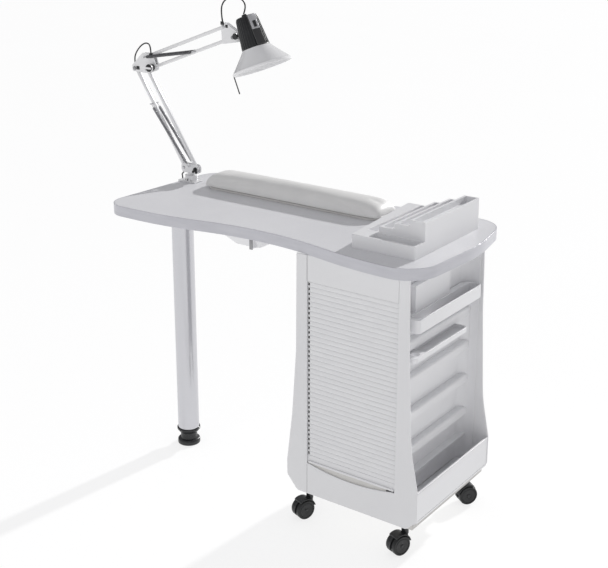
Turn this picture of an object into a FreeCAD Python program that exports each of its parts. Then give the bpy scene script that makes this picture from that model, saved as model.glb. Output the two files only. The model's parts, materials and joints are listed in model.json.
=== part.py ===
"""Manicure table: kidney top on one leg and a wheeled cabinet, with a balanced-arm lamp. Millimetres.

Frame: X along the table from the leg to the cabinet, Y from the client's long edge to the back, Z up.
The origin is the middle of the leg's foot, on the floor.
"""
import FreeCAD, Part
import math
import os
import re
from FreeCAD import Placement, Rotation, Vector
from types import SimpleNamespace

DOC = FreeCAD.newDocument("ManicureTable")
SHEET = DOC.addObject("Spreadsheet::Sheet", "Sizes")
UP = Vector(0, 0, 1)
ALONG_X = Rotation(Vector(0, 1, 0), 90)
ALONG_Y = Rotation(Vector(1, 0, 0), -90)

SIZES = {
    # top
    "top_z": 750, "top_thick": 28, "band": 3,
    # leg and levelling foot
    "leg_r": 30, "leg_wall": 2, "leg_low": 50, "flange_r": 52, "flange_thick": 6,
    "foot_r": 32, "foot_thick": 16, "neck_r": 24, "collar_r": 33, "collar_low": 36, "stem_r": 6,
    # cabinet
    "front_y": -172, "back_y": 188, "skin": 4, "base_low": 92, "base_thick": 12, "board": 16,
    "wall_x": 771, "wall_thick": 4, "face_x": 777, "cheek_x": 824, "cheek_y": -92,
    "ledge_x": 795, "ledge_thick": 22, "ledge_pitch": 92, "ledge_low": 244, "sill_z": 185, "sill_thick": 5,
    "gutter_z": 575, "gutter_high": 33, "shelf_z": 500, "shelf_thick": 12,
    "opening_left": 542, "opening_right": 796, "opening_low": 176, "fascia_low": 656,
    "bin_front": 858, "bin_low": 117, "bin_high": 192,
    # shutter
    "slat_thick": 5, "slat_gap": 0.5, "slat_left": 528, "slat_right": 810, "rail_high": 20,
    "slat_top": 704, "roller_right": 780,
    "roller_r": 22, "roller_y": -138, "roller_z": 690, "axle_r": 4, "running": 0.05,
    # casters
    "wheel_r": 25, "wheel_wide": 14, "wheel_gap": 6, "trail": 21, "caster_top": 72, "caster_stem_r": 5,
    "caster_left": 516, "caster_right": 800, "caster_near": -122, "caster_far": 150,
    # cushion
    "pad_left": 15, "pad_right": 590, "pad_near": 62, "pad_far": 172, "pad_high": 40, "pad_board": 6,
    # polish rack
    "rack_right": 812, "rack_near": -134, "rack_far": 168, "rack_low_high": 33, "rack_step": 15,
    "rack_pitch": 41, "rack_steps_x": 648, "rack_steps_y": -90,
    # under-top tray
    "dish_left": 205, "dish_right": 372, "dish_near": -122, "dish_far": -22, "dish_deep": 39, "flange": 3,
    # lamp
    "lamp_x": -50, "lamp_y": 100, "arm_z": 789, "tube": 9, "arm_gap": 43,
    "lower_run": -172, "lower_rise": 262, "upper_run": 286, "upper_rise": 106,
    "plate": 2, "pin_r": 2.5, "peg_r": 2, "spring_r": 4.5, "spring_y": 12,
    "shade_r": 80.5, "shade_neck_r": 38, "housing_r": 28, "housing_low_r": 37, "housing_long": 84,
    "head_long": 139, "head_tilt": 22.6, "spine_turn": 25, "rod_r": 1.6, "rod_long": 46,
    # cables and mains cord
    "cable_r": 2, "cord_r": 3, "gland_x": -94, "gland_y": 112, "gland_r": 8.5, "gland_low": 726,
    "gland_high": 742, "coil_x": 655, "coil_y": 212, "coil_r": 33, "coil_turns": 2, "plug_thick": 16,
}
for row, (alias, value) in enumerate(SIZES.items(), start=1):
    SHEET.set(f"A{row}", alias)
    SHEET.set(f"B{row}", str(value))
    SHEET.setAlias(f"B{row}", alias)
DOC.recompute()
S = SimpleNamespace(**{alias: float(SHEET.get(alias)) for alias in SIZES})
PARTS = []


# ---------------------------------------------------------------- helpers
def bound(words):
    """An expression on the sheet: every alias in the words becomes a cell of Sizes."""
    return re.sub(r"[a-z]\w*", lambda m: f"Sizes.{m[0]}" if m[0] in SIZES else m[0], str(words))


def place(item, x=0, y=0, z=0, turn=None):
    item.Placement = Placement(Vector(), turn or Rotation())
    for letter, words in zip("xyz", (x, y, z)):
        item.setExpression(f".Placement.Base.{letter}", bound(words))
    return item


def box(name, x, y, z, length, width, height):
    item = DOC.addObject("Part::Box", name)
    for prop, words in (("Length", length), ("Width", width), ("Height", height)):
        item.setExpression(prop, bound(words))
    return place(item, x, y, z)


def cylinder(name, x, y, z, radius, height, turn=None):
    item = DOC.addObject("Part::Cylinder", name)
    item.setExpression("Radius", bound(radius))
    item.setExpression("Height", bound(height))
    return place(item, x, y, z, turn)


def cone(name, x, y, z, low_r, high_r, height, turn=None):
    item = DOC.addObject("Part::Cone", name)
    for prop, words in (("Radius1", low_r), ("Radius2", high_r), ("Height", height)):
        item.setExpression(prop, bound(words))
    return place(item, x, y, z, turn)


def fuse(name, *shapes):
    item = DOC.addObject("Part::MultiFuse", name)
    item.Shapes = list(shapes)
    item.Refine = True
    return item


def cut(name, base, *tools):
    item = DOC.addObject("Part::Cut", name)
    item.Base = base
    item.Tool = tools[0] if len(tools) == 1 else fuse(name + "Tools", *tools)
    return item


def group(name, *shapes):
    item = DOC.addObject("Part::Compound", name)
    item.Links = list(shapes)
    return item


def feature(name, shape, placement=None):
    item = DOC.addObject("Part::Feature", name)
    item.Shape = shape
    if placement:
        item.Placement = placement
    return item


def keep(label, item):
    """Names a finished sub-part and puts it on the list that is written."""
    item.Label = label
    PARTS.append(item)
    return item


def rounded(points):
    """Lines and tangent arcs round a closed outline of (x, y, radius) corners, in order."""
    count = len(points)
    corners = []
    for i, (x, y, radius) in enumerate(points):
        here = Vector(x, y, 0)
        back = Vector(*points[i - 1][:2], 0) - here
        ahead = Vector(*points[(i + 1) % count][:2], 0) - here
        back.normalize()
        ahead.normalize()
        half = back.getAngle(ahead) / 2
        if radius <= 0 or half > math.pi / 2 - 1e-6:
            corners.append((here, None, here))
            continue
        reach = radius / math.tan(half)
        middle = (back + ahead).normalize() * (radius / math.sin(half) - radius)
        corners.append((here + back * reach, here + middle, here + ahead * reach))
    curves = []
    for i, (start, middle, end) in enumerate(corners):
        if middle is not None:
            curves.append(Part.Arc(start, middle, end))
        following = corners[(i + 1) % count][0]
        if end.distanceToPoint(following) > 1e-6:
            curves.append(Part.LineSegment(end, following))
    return curves


def plane_of(body, role):
    return [part for part in body.Origin.OriginFeatures if part.Role == role][0]


def sketch_on(body, name, role, offset, curves):
    sketch = body.newObject("Sketcher::SketchObject", name)
    sketch.AttachmentSupport = (plane_of(body, role), "")
    sketch.MapMode = "FlatFace"
    sketch.setExpression(".AttachmentOffset.Base.z", bound(offset))
    for curve in curves:
        sketch.addGeometry(curve)
    return sketch


def padded(label, role, offset, curves, length):
    """A body of one padded sketch. XY pads go +Z, XZ pads go -Y, YZ pads go +X."""
    body = DOC.addObject("PartDesign::Body", label.title().replace("_", ""))
    pad = body.newObject("PartDesign::Pad", "Pad" + body.Name)
    pad.Profile = sketch_on(body, "Sketch" + body.Name, role, offset, curves)
    pad.setExpression("Length", bound(length))
    body.Tip = pad
    return body


def pocket(body, role, offset, curves, length, reverse=False):
    """Cuts a sketched outline out of a body. XY pockets go -Z unless reversed, XZ pockets go +Y."""
    count = len(body.Group)
    sketch = sketch_on(body, f"Cut{count}{body.Name}", role, offset, curves)
    tool = body.newObject("PartDesign::Pocket", f"Pocket{count}{body.Name}")
    tool.Profile = sketch
    tool.setExpression("Length", bound(length))
    tool.Reversed = reverse
    body.Tip = tool
    return tool


def ring_points(x0, y0, x1, y1, radius):
    return [(x0, y0, radius), (x1, y0, radius), (x1, y1, radius), (x0, y1, radius)]


def between(start, end):
    """Placement whose local X runs from start to end, in a vertical plane along X."""
    run = end - start
    return Placement(start, Rotation(Vector(0, 1, 0), -math.degrees(math.atan2(run.z, run.x))))


# ---------------------------------------------------------------- top
TOP_OUTLINE = [
    (-96, -200, 58), (110, -200, 900), (400, -140, 820), (690, -201, 850), (862, -204, 82),
    (877, 60, 500), (840, 247, 80), (640, 250, 260), (420, 176, 560), (60, 228, 500), (-72, 228, 62),
]


def make_top():
    outline = DOC.addObject("Sketcher::SketchObject", "TopOutline")
    for curve in rounded(TOP_OUTLINE):
        outline.addGeometry(curve)
    inner = DOC.addObject("Part::Offset2D", "TopInner")
    inner.Source = outline
    inner.setExpression("Value", bound("0 - band"))
    solids = []
    for name, source in (("TopOuterBlock", outline), ("TopBoard", inner), ("TopCore", inner)):
        block = DOC.addObject("Part::Extrusion", name)
        block.Base = source
        block.DirMode = "Custom"
        block.Dir = UP
        block.Solid = True
        block.setExpression("LengthFwd", bound("top_thick"))
        solids.append(place(block, 0, 0, "top_z - top_thick"))
    keep("tabletop", solids[1])
    keep("edge_band", cut("EdgeBand", solids[0], solids[2]))


# ---------------------------------------------------------------- leg
def make_leg():
    under = "top_z - top_thick"
    tube_top = f"{under} - flange_thick"
    tube = cylinder("LegOuter", 0, 0, "leg_low", "leg_r", f"{tube_top} - leg_low")
    bore = cylinder("LegBore", 0, 0, "leg_low", "leg_r - leg_wall", f"{tube_top} - leg_low")
    keep("leg_tube", cut("LegTube", tube, bore))
    plate = cylinder("FlangePlate", 0, 0, tube_top, "flange_r", "flange_thick")
    spigot = cylinder("FlangeSpigot", 0, 0, f"{tube_top} - 24", "leg_r - leg_wall - 0.05", "24")
    hollow = cylinder("FlangeHollow", 0, 0, f"{tube_top} - 24", "leg_r - leg_wall - 5", "24")
    holes = [cylinder(f"FlangeHole{i}", f"{x}", f"{y}", tube_top, "2.6", "flange_thick")
             for i, (x, y) in enumerate(leg_screw_places())]
    keep("leg_flange", cut("LegFlange", fuse("FlangeBody", plate, spigot), hollow, *holes))
    screws = []
    for i, (x, y) in enumerate(leg_screw_places()):
        head = cone(f"ScrewHead{i}", x, y, f"{tube_top} - 2.5", "4.5", "2.5", "2.5")
        shank = cylinder(f"ScrewShank{i}", x, y, tube_top, "2.5", "flange_thick")
        screws.append(fuse(f"LegScrew{i}", head, shank))
    keep("leg_screws", group("LegScrews", *screws))
    collar = fuse(
        "CollarBody",
        cone("CollarFlare", 0, 0, "collar_low", "neck_r + 3", "collar_r", "8"),
        cylinder("CollarRim", 0, 0, "collar_low + 8", "collar_r", "leg_low - collar_low - 8"),
        cylinder("CollarPlug", 0, 0, "leg_low", "leg_r - leg_wall - 0.05", "18"))
    thread = cylinder("CollarThread", 0, 0, "collar_low", "stem_r + running", "leg_low - collar_low + 18")
    keep("leg_collar", cut("LegCollar", collar, thread))
    disc = DOC.addObject("Part::Fillet", "FootDisc")
    disc.Base = cylinder("FootBlank", 0, 0, 0, "foot_r", "foot_thick")
    disc.Edges = [(3, 4, 4)]
    neck = cylinder("FootNeck", 0, 0, "foot_thick - 1", "neck_r", "collar_low - foot_thick + 1")
    stem = cylinder("FootStem", 0, 0, "collar_low - 1", "stem_r", "leg_low - collar_low + 18")
    keep("levelling_foot", fuse("LevellingFoot", disc, neck, stem))


def leg_screw_places():
    radius = (S.leg_r + S.flange_r) / 2
    return [(round(radius * math.cos(math.radians(a)), 3), round(radius * math.sin(math.radians(a)), 3))
            for a in (45, 135, 225, 315)]


# ---------------------------------------------------------------- cabinet
SIDE_OUTLINE = [
    (511, 722, 0), (509, 470, 500), (497, 300, 400), (481, 170, 40), (481, 128, 14), (512, 92, 14),
    (830, 92, 12), (859, 118, 10), (859, 196, 40), (838, 300, 400), (827, 530, 500), (824, 722, 0),
]


def side_curves(inset=0):
    """The flared outline of the cabinet's two moulded sides, in X and Z."""
    if inset == 0:
        return rounded(SIDE_OUTLINE)
    wire = Part.Wire([curve.toShape() for curve in rounded(SIDE_OUTLINE)])
    return wire.makeOffset2D(-inset)


def make_cabinet():
    left, right, low = S.opening_left, S.opening_right, S.opening_low
    near = padded("near_side", "XZ_Plane", "0 - front_y - skin", side_curves(), "skin")
    middle = (left + right) / 2
    scoop = [Part.Arc(Vector(left + 8, low, 0), Vector(middle, low - 13, 0), Vector(right - 8, low, 0)),
             Part.LineSegment(Vector(right - 8, low, 0), Vector(right, low, 0)),
             Part.LineSegment(Vector(right, low, 0), Vector(right, 722, 0)),
             Part.LineSegment(Vector(right, 722, 0), Vector(left, 722, 0)),
             Part.LineSegment(Vector(left, 722, 0), Vector(left, low, 0)),
             Part.LineSegment(Vector(left, low, 0), Vector(left + 8, low, 0))]
    pocket(near, "XZ_Plane", "0 - front_y", scoop, "skin")
    keep("near_side", near)
    keep("far_side", padded("far_side", "XZ_Plane", "0 - back_y", side_curves(), "skin"))
    fascia = box("Fascia", "opening_left + 0.5", "front_y + 0.3", "fascia_low",
                 "opening_right - opening_left - 1", "skin - 0.6", "top_z - top_thick - fascia_low")
    keep("fascia", fascia)

    inside_near, inside_far = "front_y + skin", "back_y - skin"
    depth = f"({inside_far}) - ({inside_near})"
    top_low = "top_z - top_thick - board"
    head_near = "roller_y + roller_r + 4"
    keep("cabinet_head", box("CabinetHead", "516", head_near, top_low, "wall_x - 516",
                             f"{inside_far} - ({head_near})", "board"))
    # left wall: the strip between the side outline and the same outline set in by the wall thickness
    outer = Part.Face(Part.Wire([curve.toShape() for curve in rounded(SIDE_OUTLINE)]))
    inner = Part.Face(side_curves(S.wall_thick))
    strip = outer.cut(inner)
    strip.rotate(Vector(), Vector(1, 0, 0), 90)
    strip.translate(Vector(0, S.front_y + S.skin, 0))
    wall = strip.extrude(Vector(0, S.back_y - S.front_y - 2 * S.skin, 0))
    head_low = S.top_z - S.top_thick - S.board
    reach = Part.makeBox(41, 400, head_low - S.base_low, Vector(475, S.front_y, S.base_low))
    keep("left_wall", feature("LeftWall", wall.common(reach).Solids[0]))
    panel = box("FloorPanel", "516", inside_near, "base_low", "bin_front - skin - 516 - 8", depth,
                "base_thick")
    stop = box("StopRail", "516", inside_near, "base_low + base_thick", "wall_x - 516", "10",
               "opening_low + 2 - base_low - base_thick")
    keep("base_panel", fuse("BasePanel", panel, stop))
    shelf = box("InnerShelf", "516", "roller_y + 8", "400", "wall_x - 516",
                f"{inside_far} - roller_y - 8", "12")
    keep("inner_shelf", shelf)
    make_display()
    make_bin(inside_near, depth)


def cheek_line(offset):
    """The splayed near cheek's far and near ends, its face moved the offset towards the cabinet's inside."""
    far = Vector(S.face_x, S.cheek_y, 0)
    near = Vector(S.cheek_x, S.front_y + S.skin, 0)
    shift = Vector(offset * far.distanceToPoint(near) / (near.y - far.y), 0, 0)
    return far + shift, near + shift


def make_display():
    """The open end: a back wall with rounded corners, a splayed near cheek, ledges and tray brackets."""
    far, lip, turn, thin = S.back_y - S.skin, 816, 34, 2
    face_far, face_near = cheek_line(0)
    back_far, back_near = cheek_line(thin)
    top = "top_z - top_thick"
    wall = padded("display_wall", "XY_Plane", "bin_low + 4", rounded([
        (lip, far, 0), (S.face_x - thin, far, turn), (S.face_x - thin, back_far.y - 0.7, turn - 10),
        (back_near.x, back_near.y, 0), (face_near.x, face_near.y, 0),
        (S.face_x, face_far.y, turn - 12), (S.face_x, far - thin, turn - thin), (lip, far - thin, 0)]),
        f"{top} - bin_low - 4")
    near = "front_y + skin"
    boards = [box(f"Ledge{i}", "face_x - 1", near, f"ledge_low + {i} * ledge_pitch", "ledge_x - face_x + 1",
                  f"back_y - skin - 1 - ({near})", "ledge_thick") for i in range(4)]
    soft = []
    for board in boards:
        edge = DOC.addObject("Part::Fillet", "Soft" + board.Name)
        edge.Base = board
        edge.Edges = [(6, 6, 6)]
        soft.append(edge)
    soft.append(box("Sill", "face_x - 1", near, "sill_z", "ledge_x - face_x + 1",
                    f"back_y - skin - 1 - ({near})", "sill_thick"))
    for name, low in (("Gutter", "gutter_z"), ("Shelf", "shelf_z")):
        soft += [box(f"{name}Bracket{i}", "face_x - 1", y, f"{low} - 6.3", "24", "8", "6")
                 for i, y in enumerate(("0 - 60", "84"))]
    cut_far, cut_near = cheek_line(1)
    slope = (cut_near - cut_far) * 0.4
    wedge = Part.makePolygon([cut_far - slope, cut_near + slope, Vector(740, cut_near.y + slope.y, 0),
                              Vector(740, (cut_far - slope).y, 0), cut_far - slope])
    behind = feature("BehindCheek", Part.Face(wedge).extrude(UP * 620),
                     Placement(Vector(0, 0, S.bin_low), Rotation()))
    keep("display_wall", fuse("DisplayWallBody", wall, cut("Boards", fuse("AllBoards", *soft), behind)))


def make_bin(inside_near, depth):
    front = box("BinFront", "bin_front - skin", inside_near, "bin_low - 4", "skin", depth,
                "bin_high - bin_low + 4")
    floor = box("BinFloor", "face_x + 0.5", inside_near, "bin_low", "bin_front - face_x - 1.5", depth, "4")
    keep("bin", fuse("Bin", front, floor))


# ---------------------------------------------------------------- roller shutter
def make_shutter():
    slat_y = "front_y + skin + slat_gap"
    rail_low = "opening_low + 2"
    wide = "slat_right - slat_left"
    rail_body = box("RailBody", "slat_left", slat_y, rail_low, wide, "slat_thick", "rail_high")
    lip = box("RailLip", "opening_left + 3", "front_y + 1", rail_low, "opening_right - opening_left - 6",
              "skin", "6")
    keep("shutter_rail", fuse("ShutterRail", rail_body, lip))
    slats = box("ShutterSlats", "slat_left", slat_y, f"{rail_low} + rail_high", wide, "slat_thick",
                "slat_top - opening_low - 2 - rail_high")
    keep("shutter_slats", slats)
    guides = []
    sides = (("slat_left - 3", "slat_left - 0.5"), ("opening_right + 2", "opening_right + 1"))
    for i, (x, groove) in enumerate(sides):
        block = box(f"GuideBlock{i}", x, "front_y + skin", rail_low, "13", "10", "485")
        slot = box(f"GuideSlot{i}", groove, f"{slat_y} - 0.5", rail_low, "15", "slat_thick + 1", "485")
        guides.append(cut(f"Guide{i}", block, slot))
    barrel = cylinder("Barrel", "slat_left + 6", "roller_y", "roller_z", "roller_r",
                      "roller_right - slat_left - 6", ALONG_X)
    axle = cylinder("BarrelAxle", "slat_left - 3", "roller_y", "roller_z", "axle_r",
                    "roller_right - slat_left + 9", ALONG_X)
    keep("shutter_roller", fuse("ShutterRoller", barrel, axle))
    for i, x in enumerate(("slat_left - 4", "roller_right + 3")):
        plate = box(f"RollerPlate{i}", x, "roller_y - 12", "roller_z - 16", "3", "24",
                    "top_z - top_thick - roller_z + 16")
        hole = cylinder(f"RollerHole{i}", f"{x} - 1", "roller_y", "roller_z", "axle_r + running", "5",
                        ALONG_X)
        guides.append(cut(f"RollerBracket{i}", plate, hole))
    keep("shutter_guides", group("ShutterGuides", *guides))


# ---------------------------------------------------------------- trays on the open side
def tray_outline(front, far, back_turn):
    """Plan of a tray whose near corner follows the splayed cheek."""
    clear, near, soft = 2, -134, 12
    start, end = cheek_line(-clear)
    slant = end - start
    left = S.face_x + clear
    left_y = start.y + slant.y * (left - start.x) / slant.x
    corner_x = start.x + slant.x * (near - start.y) / slant.y
    return rounded([(left, left_y, 4), (corner_x, near, 4), (front, near, soft), (front, far, soft),
                    (left, far, back_turn)])


def make_trays():
    tray = padded("upper_tray", "XY_Plane", "gutter_z", tray_outline(828, 176, 30), "gutter_high")
    hollow = rounded(ring_points(S.face_x + 20, -122, 824, 172, 9))
    pocket(tray, "XY_Plane", "gutter_z + gutter_high", hollow, "gutter_high - 4")
    raised = box("TrayBack", "face_x + 2", "0 - 92", "gutter_z + gutter_high - 4", "15", "162", "70")
    keep("upper_tray", fuse("UpperTray", tray, raised))
    low = padded("lower_tray", "XY_Plane", "shelf_z", tray_outline(822, 120, 8), "shelf_thick")
    pocket(low, "XY_Plane", "shelf_z + shelf_thick", rounded(ring_points(S.face_x + 6, -84, 818, 116, 8)),
           "shelf_thick - 3")
    bottle_hole = [Part.Circle(Vector(805, -108, 0), UP, 11)]
    pocket(low, "XY_Plane", "shelf_z + shelf_thick", bottle_hole, "shelf_thick")
    keep("lower_tray", low)


# ---------------------------------------------------------------- casters
CASTERS = {
    "near_left": ("caster_left", "caster_near", -110),
    "near_right": ("caster_right", "caster_near", -110),
    "far_right": ("caster_right", "caster_far", 55),
    "far_left": ("caster_left", "caster_far", 105),
}


def make_casters():
    sockets = []
    for name, (x, y, heading) in CASTERS.items():
        title = name.title().replace("_", "")
        boss = cylinder(f"Boss{title}", x, y, "caster_top", "17", "base_low - caster_top")
        bore = cylinder(f"BossBore{title}", x, y, "caster_top", "caster_stem_r + running",
                        "base_low - caster_top")
        sockets.append(cut(f"Socket{title}", boss, bore))
        turn = Rotation(UP, heading)
        stem = cylinder(f"Stem{title}", 0, 0, "caster_top - 6", "caster_stem_r", "base_low - caster_top + 4")
        neck = cylinder(f"Neck{title}", 0, 0, "wheel_r + 23", "9", "caster_top - wheel_r - 23.5")
        hood_out = cylinder(f"HoodOut{title}", "trail", "0 - wheel_gap / 2 + 0.3", "wheel_r", "wheel_r + 3",
                            "wheel_gap - 0.6", ALONG_Y)
        web = box(f"Web{title}", "0 - 8", "0 - wheel_gap / 2 + 0.3", "wheel_r", "trail + 8",
                  "wheel_gap - 0.6", "22")
        arch = cut(f"Arch{title}",
                   cylinder(f"ArchOut{title}", "trail", "0 - wheel_wide - wheel_gap / 2 + 2", "wheel_r",
                            "wheel_r + 5", "2 * wheel_wide + wheel_gap - 4", ALONG_Y),
                   cylinder(f"ArchIn{title}", "trail", "0 - wheel_wide - wheel_gap / 2", "wheel_r",
                            "wheel_r + 1.5", "2 * wheel_wide + wheel_gap", ALONG_Y),
                   box(f"ArchLow{title}", "0 - 40", "0 - 40", "0 - 20", "120", "80", "wheel_r + 26"),
                   box(f"ArchTail{title}", "trail + 16", "0 - 40", "0", "60", "80", "80"))
        middle = cut(f"Middle{title}", fuse(f"MiddleBody{title}", hood_out, web),
                     box(f"MiddleLow{title}", "0 - 20", "0 - 20", "0 - 20", "80", "40", "wheel_r + 14"),
                     cylinder(f"MiddleBore{title}", "trail", "0 - 20", "wheel_r", "axle_r + 0.5", "40",
                              ALONG_Y))
        fork = box(f"Fork{title}", "trail - 9", "0 - wheel_gap / 2 + 0.3", "wheel_r - 9", "18",
                   "wheel_gap - 0.6", "26")
        axle_bore = cylinder(f"AxleBore{title}", "trail", "0 - 20", "wheel_r", "axle_r + running", "40",
                             ALONG_Y)
        hood = cut(f"Hood{title}", fuse(f"HoodBody{title}", stem, neck, arch, middle, fork), axle_bore)
        place(hood, x, y, 0, turn)
        keep(f"caster_{name}", hood)
        wheels = [
            cylinder(f"Wheel{i}{title}", "trail", low, "wheel_r", radius, wide, ALONG_Y)
            for i, (low, radius, wide) in enumerate((
                ("wheel_gap / 2", "wheel_r", "wheel_wide"),
                ("0 - wheel_gap / 2 - wheel_wide", "wheel_r", "wheel_wide"),
                ("0 - wheel_gap / 2", "axle_r", "wheel_gap")))]
        pair = place(group(f"Wheels{title}", *wheels), x, y, 0, turn)
        keep(f"wheels_{name}", pair)
    keep("caster_sockets", group("CasterSockets", *sockets))


# ---------------------------------------------------------------- cushion, rack and under-top tray
def make_cushion():
    board = padded("cushion_board", "XY_Plane", "top_z",
                   rounded(ring_points(S.pad_left + 10, S.pad_near + 6, S.pad_right - 8, S.pad_far - 6, 34)),
                   "pad_board")
    keep("cushion_board", board)
    near, far, high = S.pad_near, S.pad_far, S.pad_high
    body = padded("pad_section", "YZ_Plane", "pad_left", [], "pad_right - pad_left")
    sketch = body.Tip.Profile[0]
    for curve in rounded([(near, 0, 3), (far, 0, 3), (far - 8, high, 26), (near + 8, high, 26)]):
        sketch.addGeometry(curve)
    sketch.setExpression(".AttachmentOffset.Base.y", bound("top_z + pad_board + 0.3"))
    ends = rounded(ring_points(S.pad_left, near, S.pad_right, far, 42))
    plan = padded("pad_plan", "XY_Plane", "top_z", ends, "80")
    pad = DOC.addObject("Part::MultiCommon", "WristCushion")
    pad.Shapes = [body, plan]
    keep("wrist_cushion", pad)


def make_rack():
    base_z, low = S.top_z, S.rack_low_high
    near, far, right = S.rack_near, S.rack_far, S.rack_right
    outline = rounded([(642, near, 3), (right, near, 3), (right, far, 3), (614, far, 4)])
    base = padded("rack_base", "XY_Plane", "top_z", outline, "rack_low_high")
    pocket(base, "XY_Plane", "top_z + rack_low_high",
           rounded(ring_points(684, near + 5, right - 5, S.rack_steps_y - 4, 4)), "24")
    blocks = [base]
    troughs = []
    for i in range(4):
        left = f"rack_steps_x + {i} * rack_pitch"
        blocks.append(box(f"Step{i}", left, "rack_steps_y", "top_z + 2",
                          f"rack_right - rack_steps_x - {i} * rack_pitch",
                          "rack_far - rack_steps_y", f"rack_low_high - 2 + {i} * rack_step"))
        troughs.append(box(f"Trough{i}", f"{left} + 6", "rack_steps_y + 5",
                           f"top_z + rack_low_high + {i} * rack_step - 15", "rack_pitch - 10",
                           "rack_far - rack_steps_y - 9", "80"))
    troughs[-1].setExpression("Length", bound("rack_right - rack_steps_x - 3 * rack_pitch - 10"))
    solid = fuse("RackSolid", *blocks)
    keep("polish_rack", cut("PolishRack", solid, *troughs))


def make_dish():
    """Shallow tray hung under the top in two channels, with sloping walls and a pull strip."""
    rim_z = S.top_z - S.top_thick - 3
    low_z = rim_z - S.dish_deep
    left, right, near, far = S.dish_left, S.dish_right, S.dish_near, S.dish_far

    def frustum(inset, bottom):
        loops = []
        for z, slope in ((rim_z, 0), (bottom, 1)):
            points = ring_points(left + inset + 56 * slope, near + inset + 22 * slope,
                                 right - inset - 30 * slope, far - inset - 22 * slope, 14)
            wire = Part.Wire([curve.toShape() for curve in rounded(points)])
            wire.translate(Vector(0, 0, z))
            loops.append(wire)
        return Part.makeLoft(loops, True, True)

    inside = frustum(2.5, low_z + 2.5)
    rim = Part.makeBox(right - left + 2 * S.flange, far - near, 2, Vector(left - S.flange, near, rim_z - 2))
    pull = Part.makeBox(11, 16, 22, Vector(328, near + 3, low_z + 4))
    dish = frustum(0, low_z).multiFuse([rim, pull]).cut(inside).removeSplitter()
    keep("under_tray", feature("UnderTray", dish))
    runners = []
    sides = (("dish_left - 6", "dish_left - 3.5"), ("dish_right + 0.5", "dish_right - 1"))
    for i, (x, slot_x) in enumerate(sides):
        rail = box(f"Runner{i}", x, "dish_near + 4", "top_z - top_thick - 9", "5.5",
                   "dish_far - dish_near - 8", "9")
        slot = box(f"RunnerSlot{i}", slot_x, "dish_near", "top_z - top_thick - 5.4", "4.5",
                   "dish_far - dish_near", "2.8")
        runners.append(cut(f"Channel{i}", rail, slot))
    keep("tray_runners", group("TrayRunners", *runners))


# ---------------------------------------------------------------- lamp
def lamp_points():
    """Pivot centres in the lamp's own vertical plane."""
    y = S.lamp_y
    base_a = Vector(S.lamp_x - S.arm_gap / 2, y, S.arm_z)
    base_b = base_a + Vector(S.arm_gap, 0, 0)
    lower = Vector(S.lower_run, 0, S.lower_rise)
    upper = Vector(S.upper_run, 0, S.upper_rise)
    elbow_a = base_a + lower
    elbow_u = elbow_a + Vector(39, 0, 35)
    elbow_l = elbow_u + Vector(30, 0, -26)
    return SimpleNamespace(
        base_a=base_a, base_b=base_b, anchor=Vector(S.lamp_x, y, S.arm_z + 6), elbow_a=elbow_a,
        elbow_b=base_b + lower, elbow_u=elbow_u, elbow_l=elbow_l, head_u=elbow_u + upper,
        head_l=elbow_l + upper, tilt=elbow_l + upper + Vector(15, 0, 5))


L = lamp_points()


def bar(label, start, end, peg=None):
    """Square bar between two pivots, with an eye at each end and perhaps a cross peg for the springs."""
    length = start.distanceToPoint(end)
    name = label.title().replace("_", "")
    rod = box(name + "Rod", "0 - tube / 2", "0 - tube / 2", "0 - tube / 2", f"{length} + tube",
              "tube", "tube")
    if peg:
        rod = fuse(name + "Pegged", rod, cylinder(name + "Peg", peg * length, "0 - spring_y - spring_r", "0",
                                                  "peg_r", "2 * (spring_y + spring_r)", ALONG_Y))
    holes = [cylinder(f"{name}Eye{i}", x, "0 - tube", "0", "pin_r + running", "2 * tube", ALONG_Y)
             for i, x in enumerate((0, length))]
    item = cut(name, rod, *holes)
    item.Placement = between(start, end)
    return keep(label, item)


def plates(outline, radius, pins, long_pins=()):
    """Two flat cheeks round the bars, with a pin through every pivot; long pins also carry the springs."""
    gap = S.tube / 2 + 0.5
    face = Part.Face(Part.Wire([curve.toShape() for curve in rounded([(x, z, radius) for x, z in outline])]))
    face.rotate(Vector(), Vector(1, 0, 0), 90)
    solids = []
    for y in (S.lamp_y - gap - S.plate, S.lamp_y + gap):
        cheek = face.copy()
        cheek.translate(Vector(0, y, 0))
        solids.append(cheek.extrude(Vector(0, S.plate, 0)))
    reaches = [(pin, gap + S.plate) for pin in pins]
    reaches += [(pin, S.spring_y + S.spring_r) for pin in long_pins]
    for pin, reach in reaches:
        start = Vector(pin.x, S.lamp_y - reach, pin.z)
        solids.append(Part.makeCylinder(S.pin_r, 2 * reach, start, Vector(0, 1, 0)))
    return solids[0].multiFuse(solids[1:]).removeSplitter()


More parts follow.
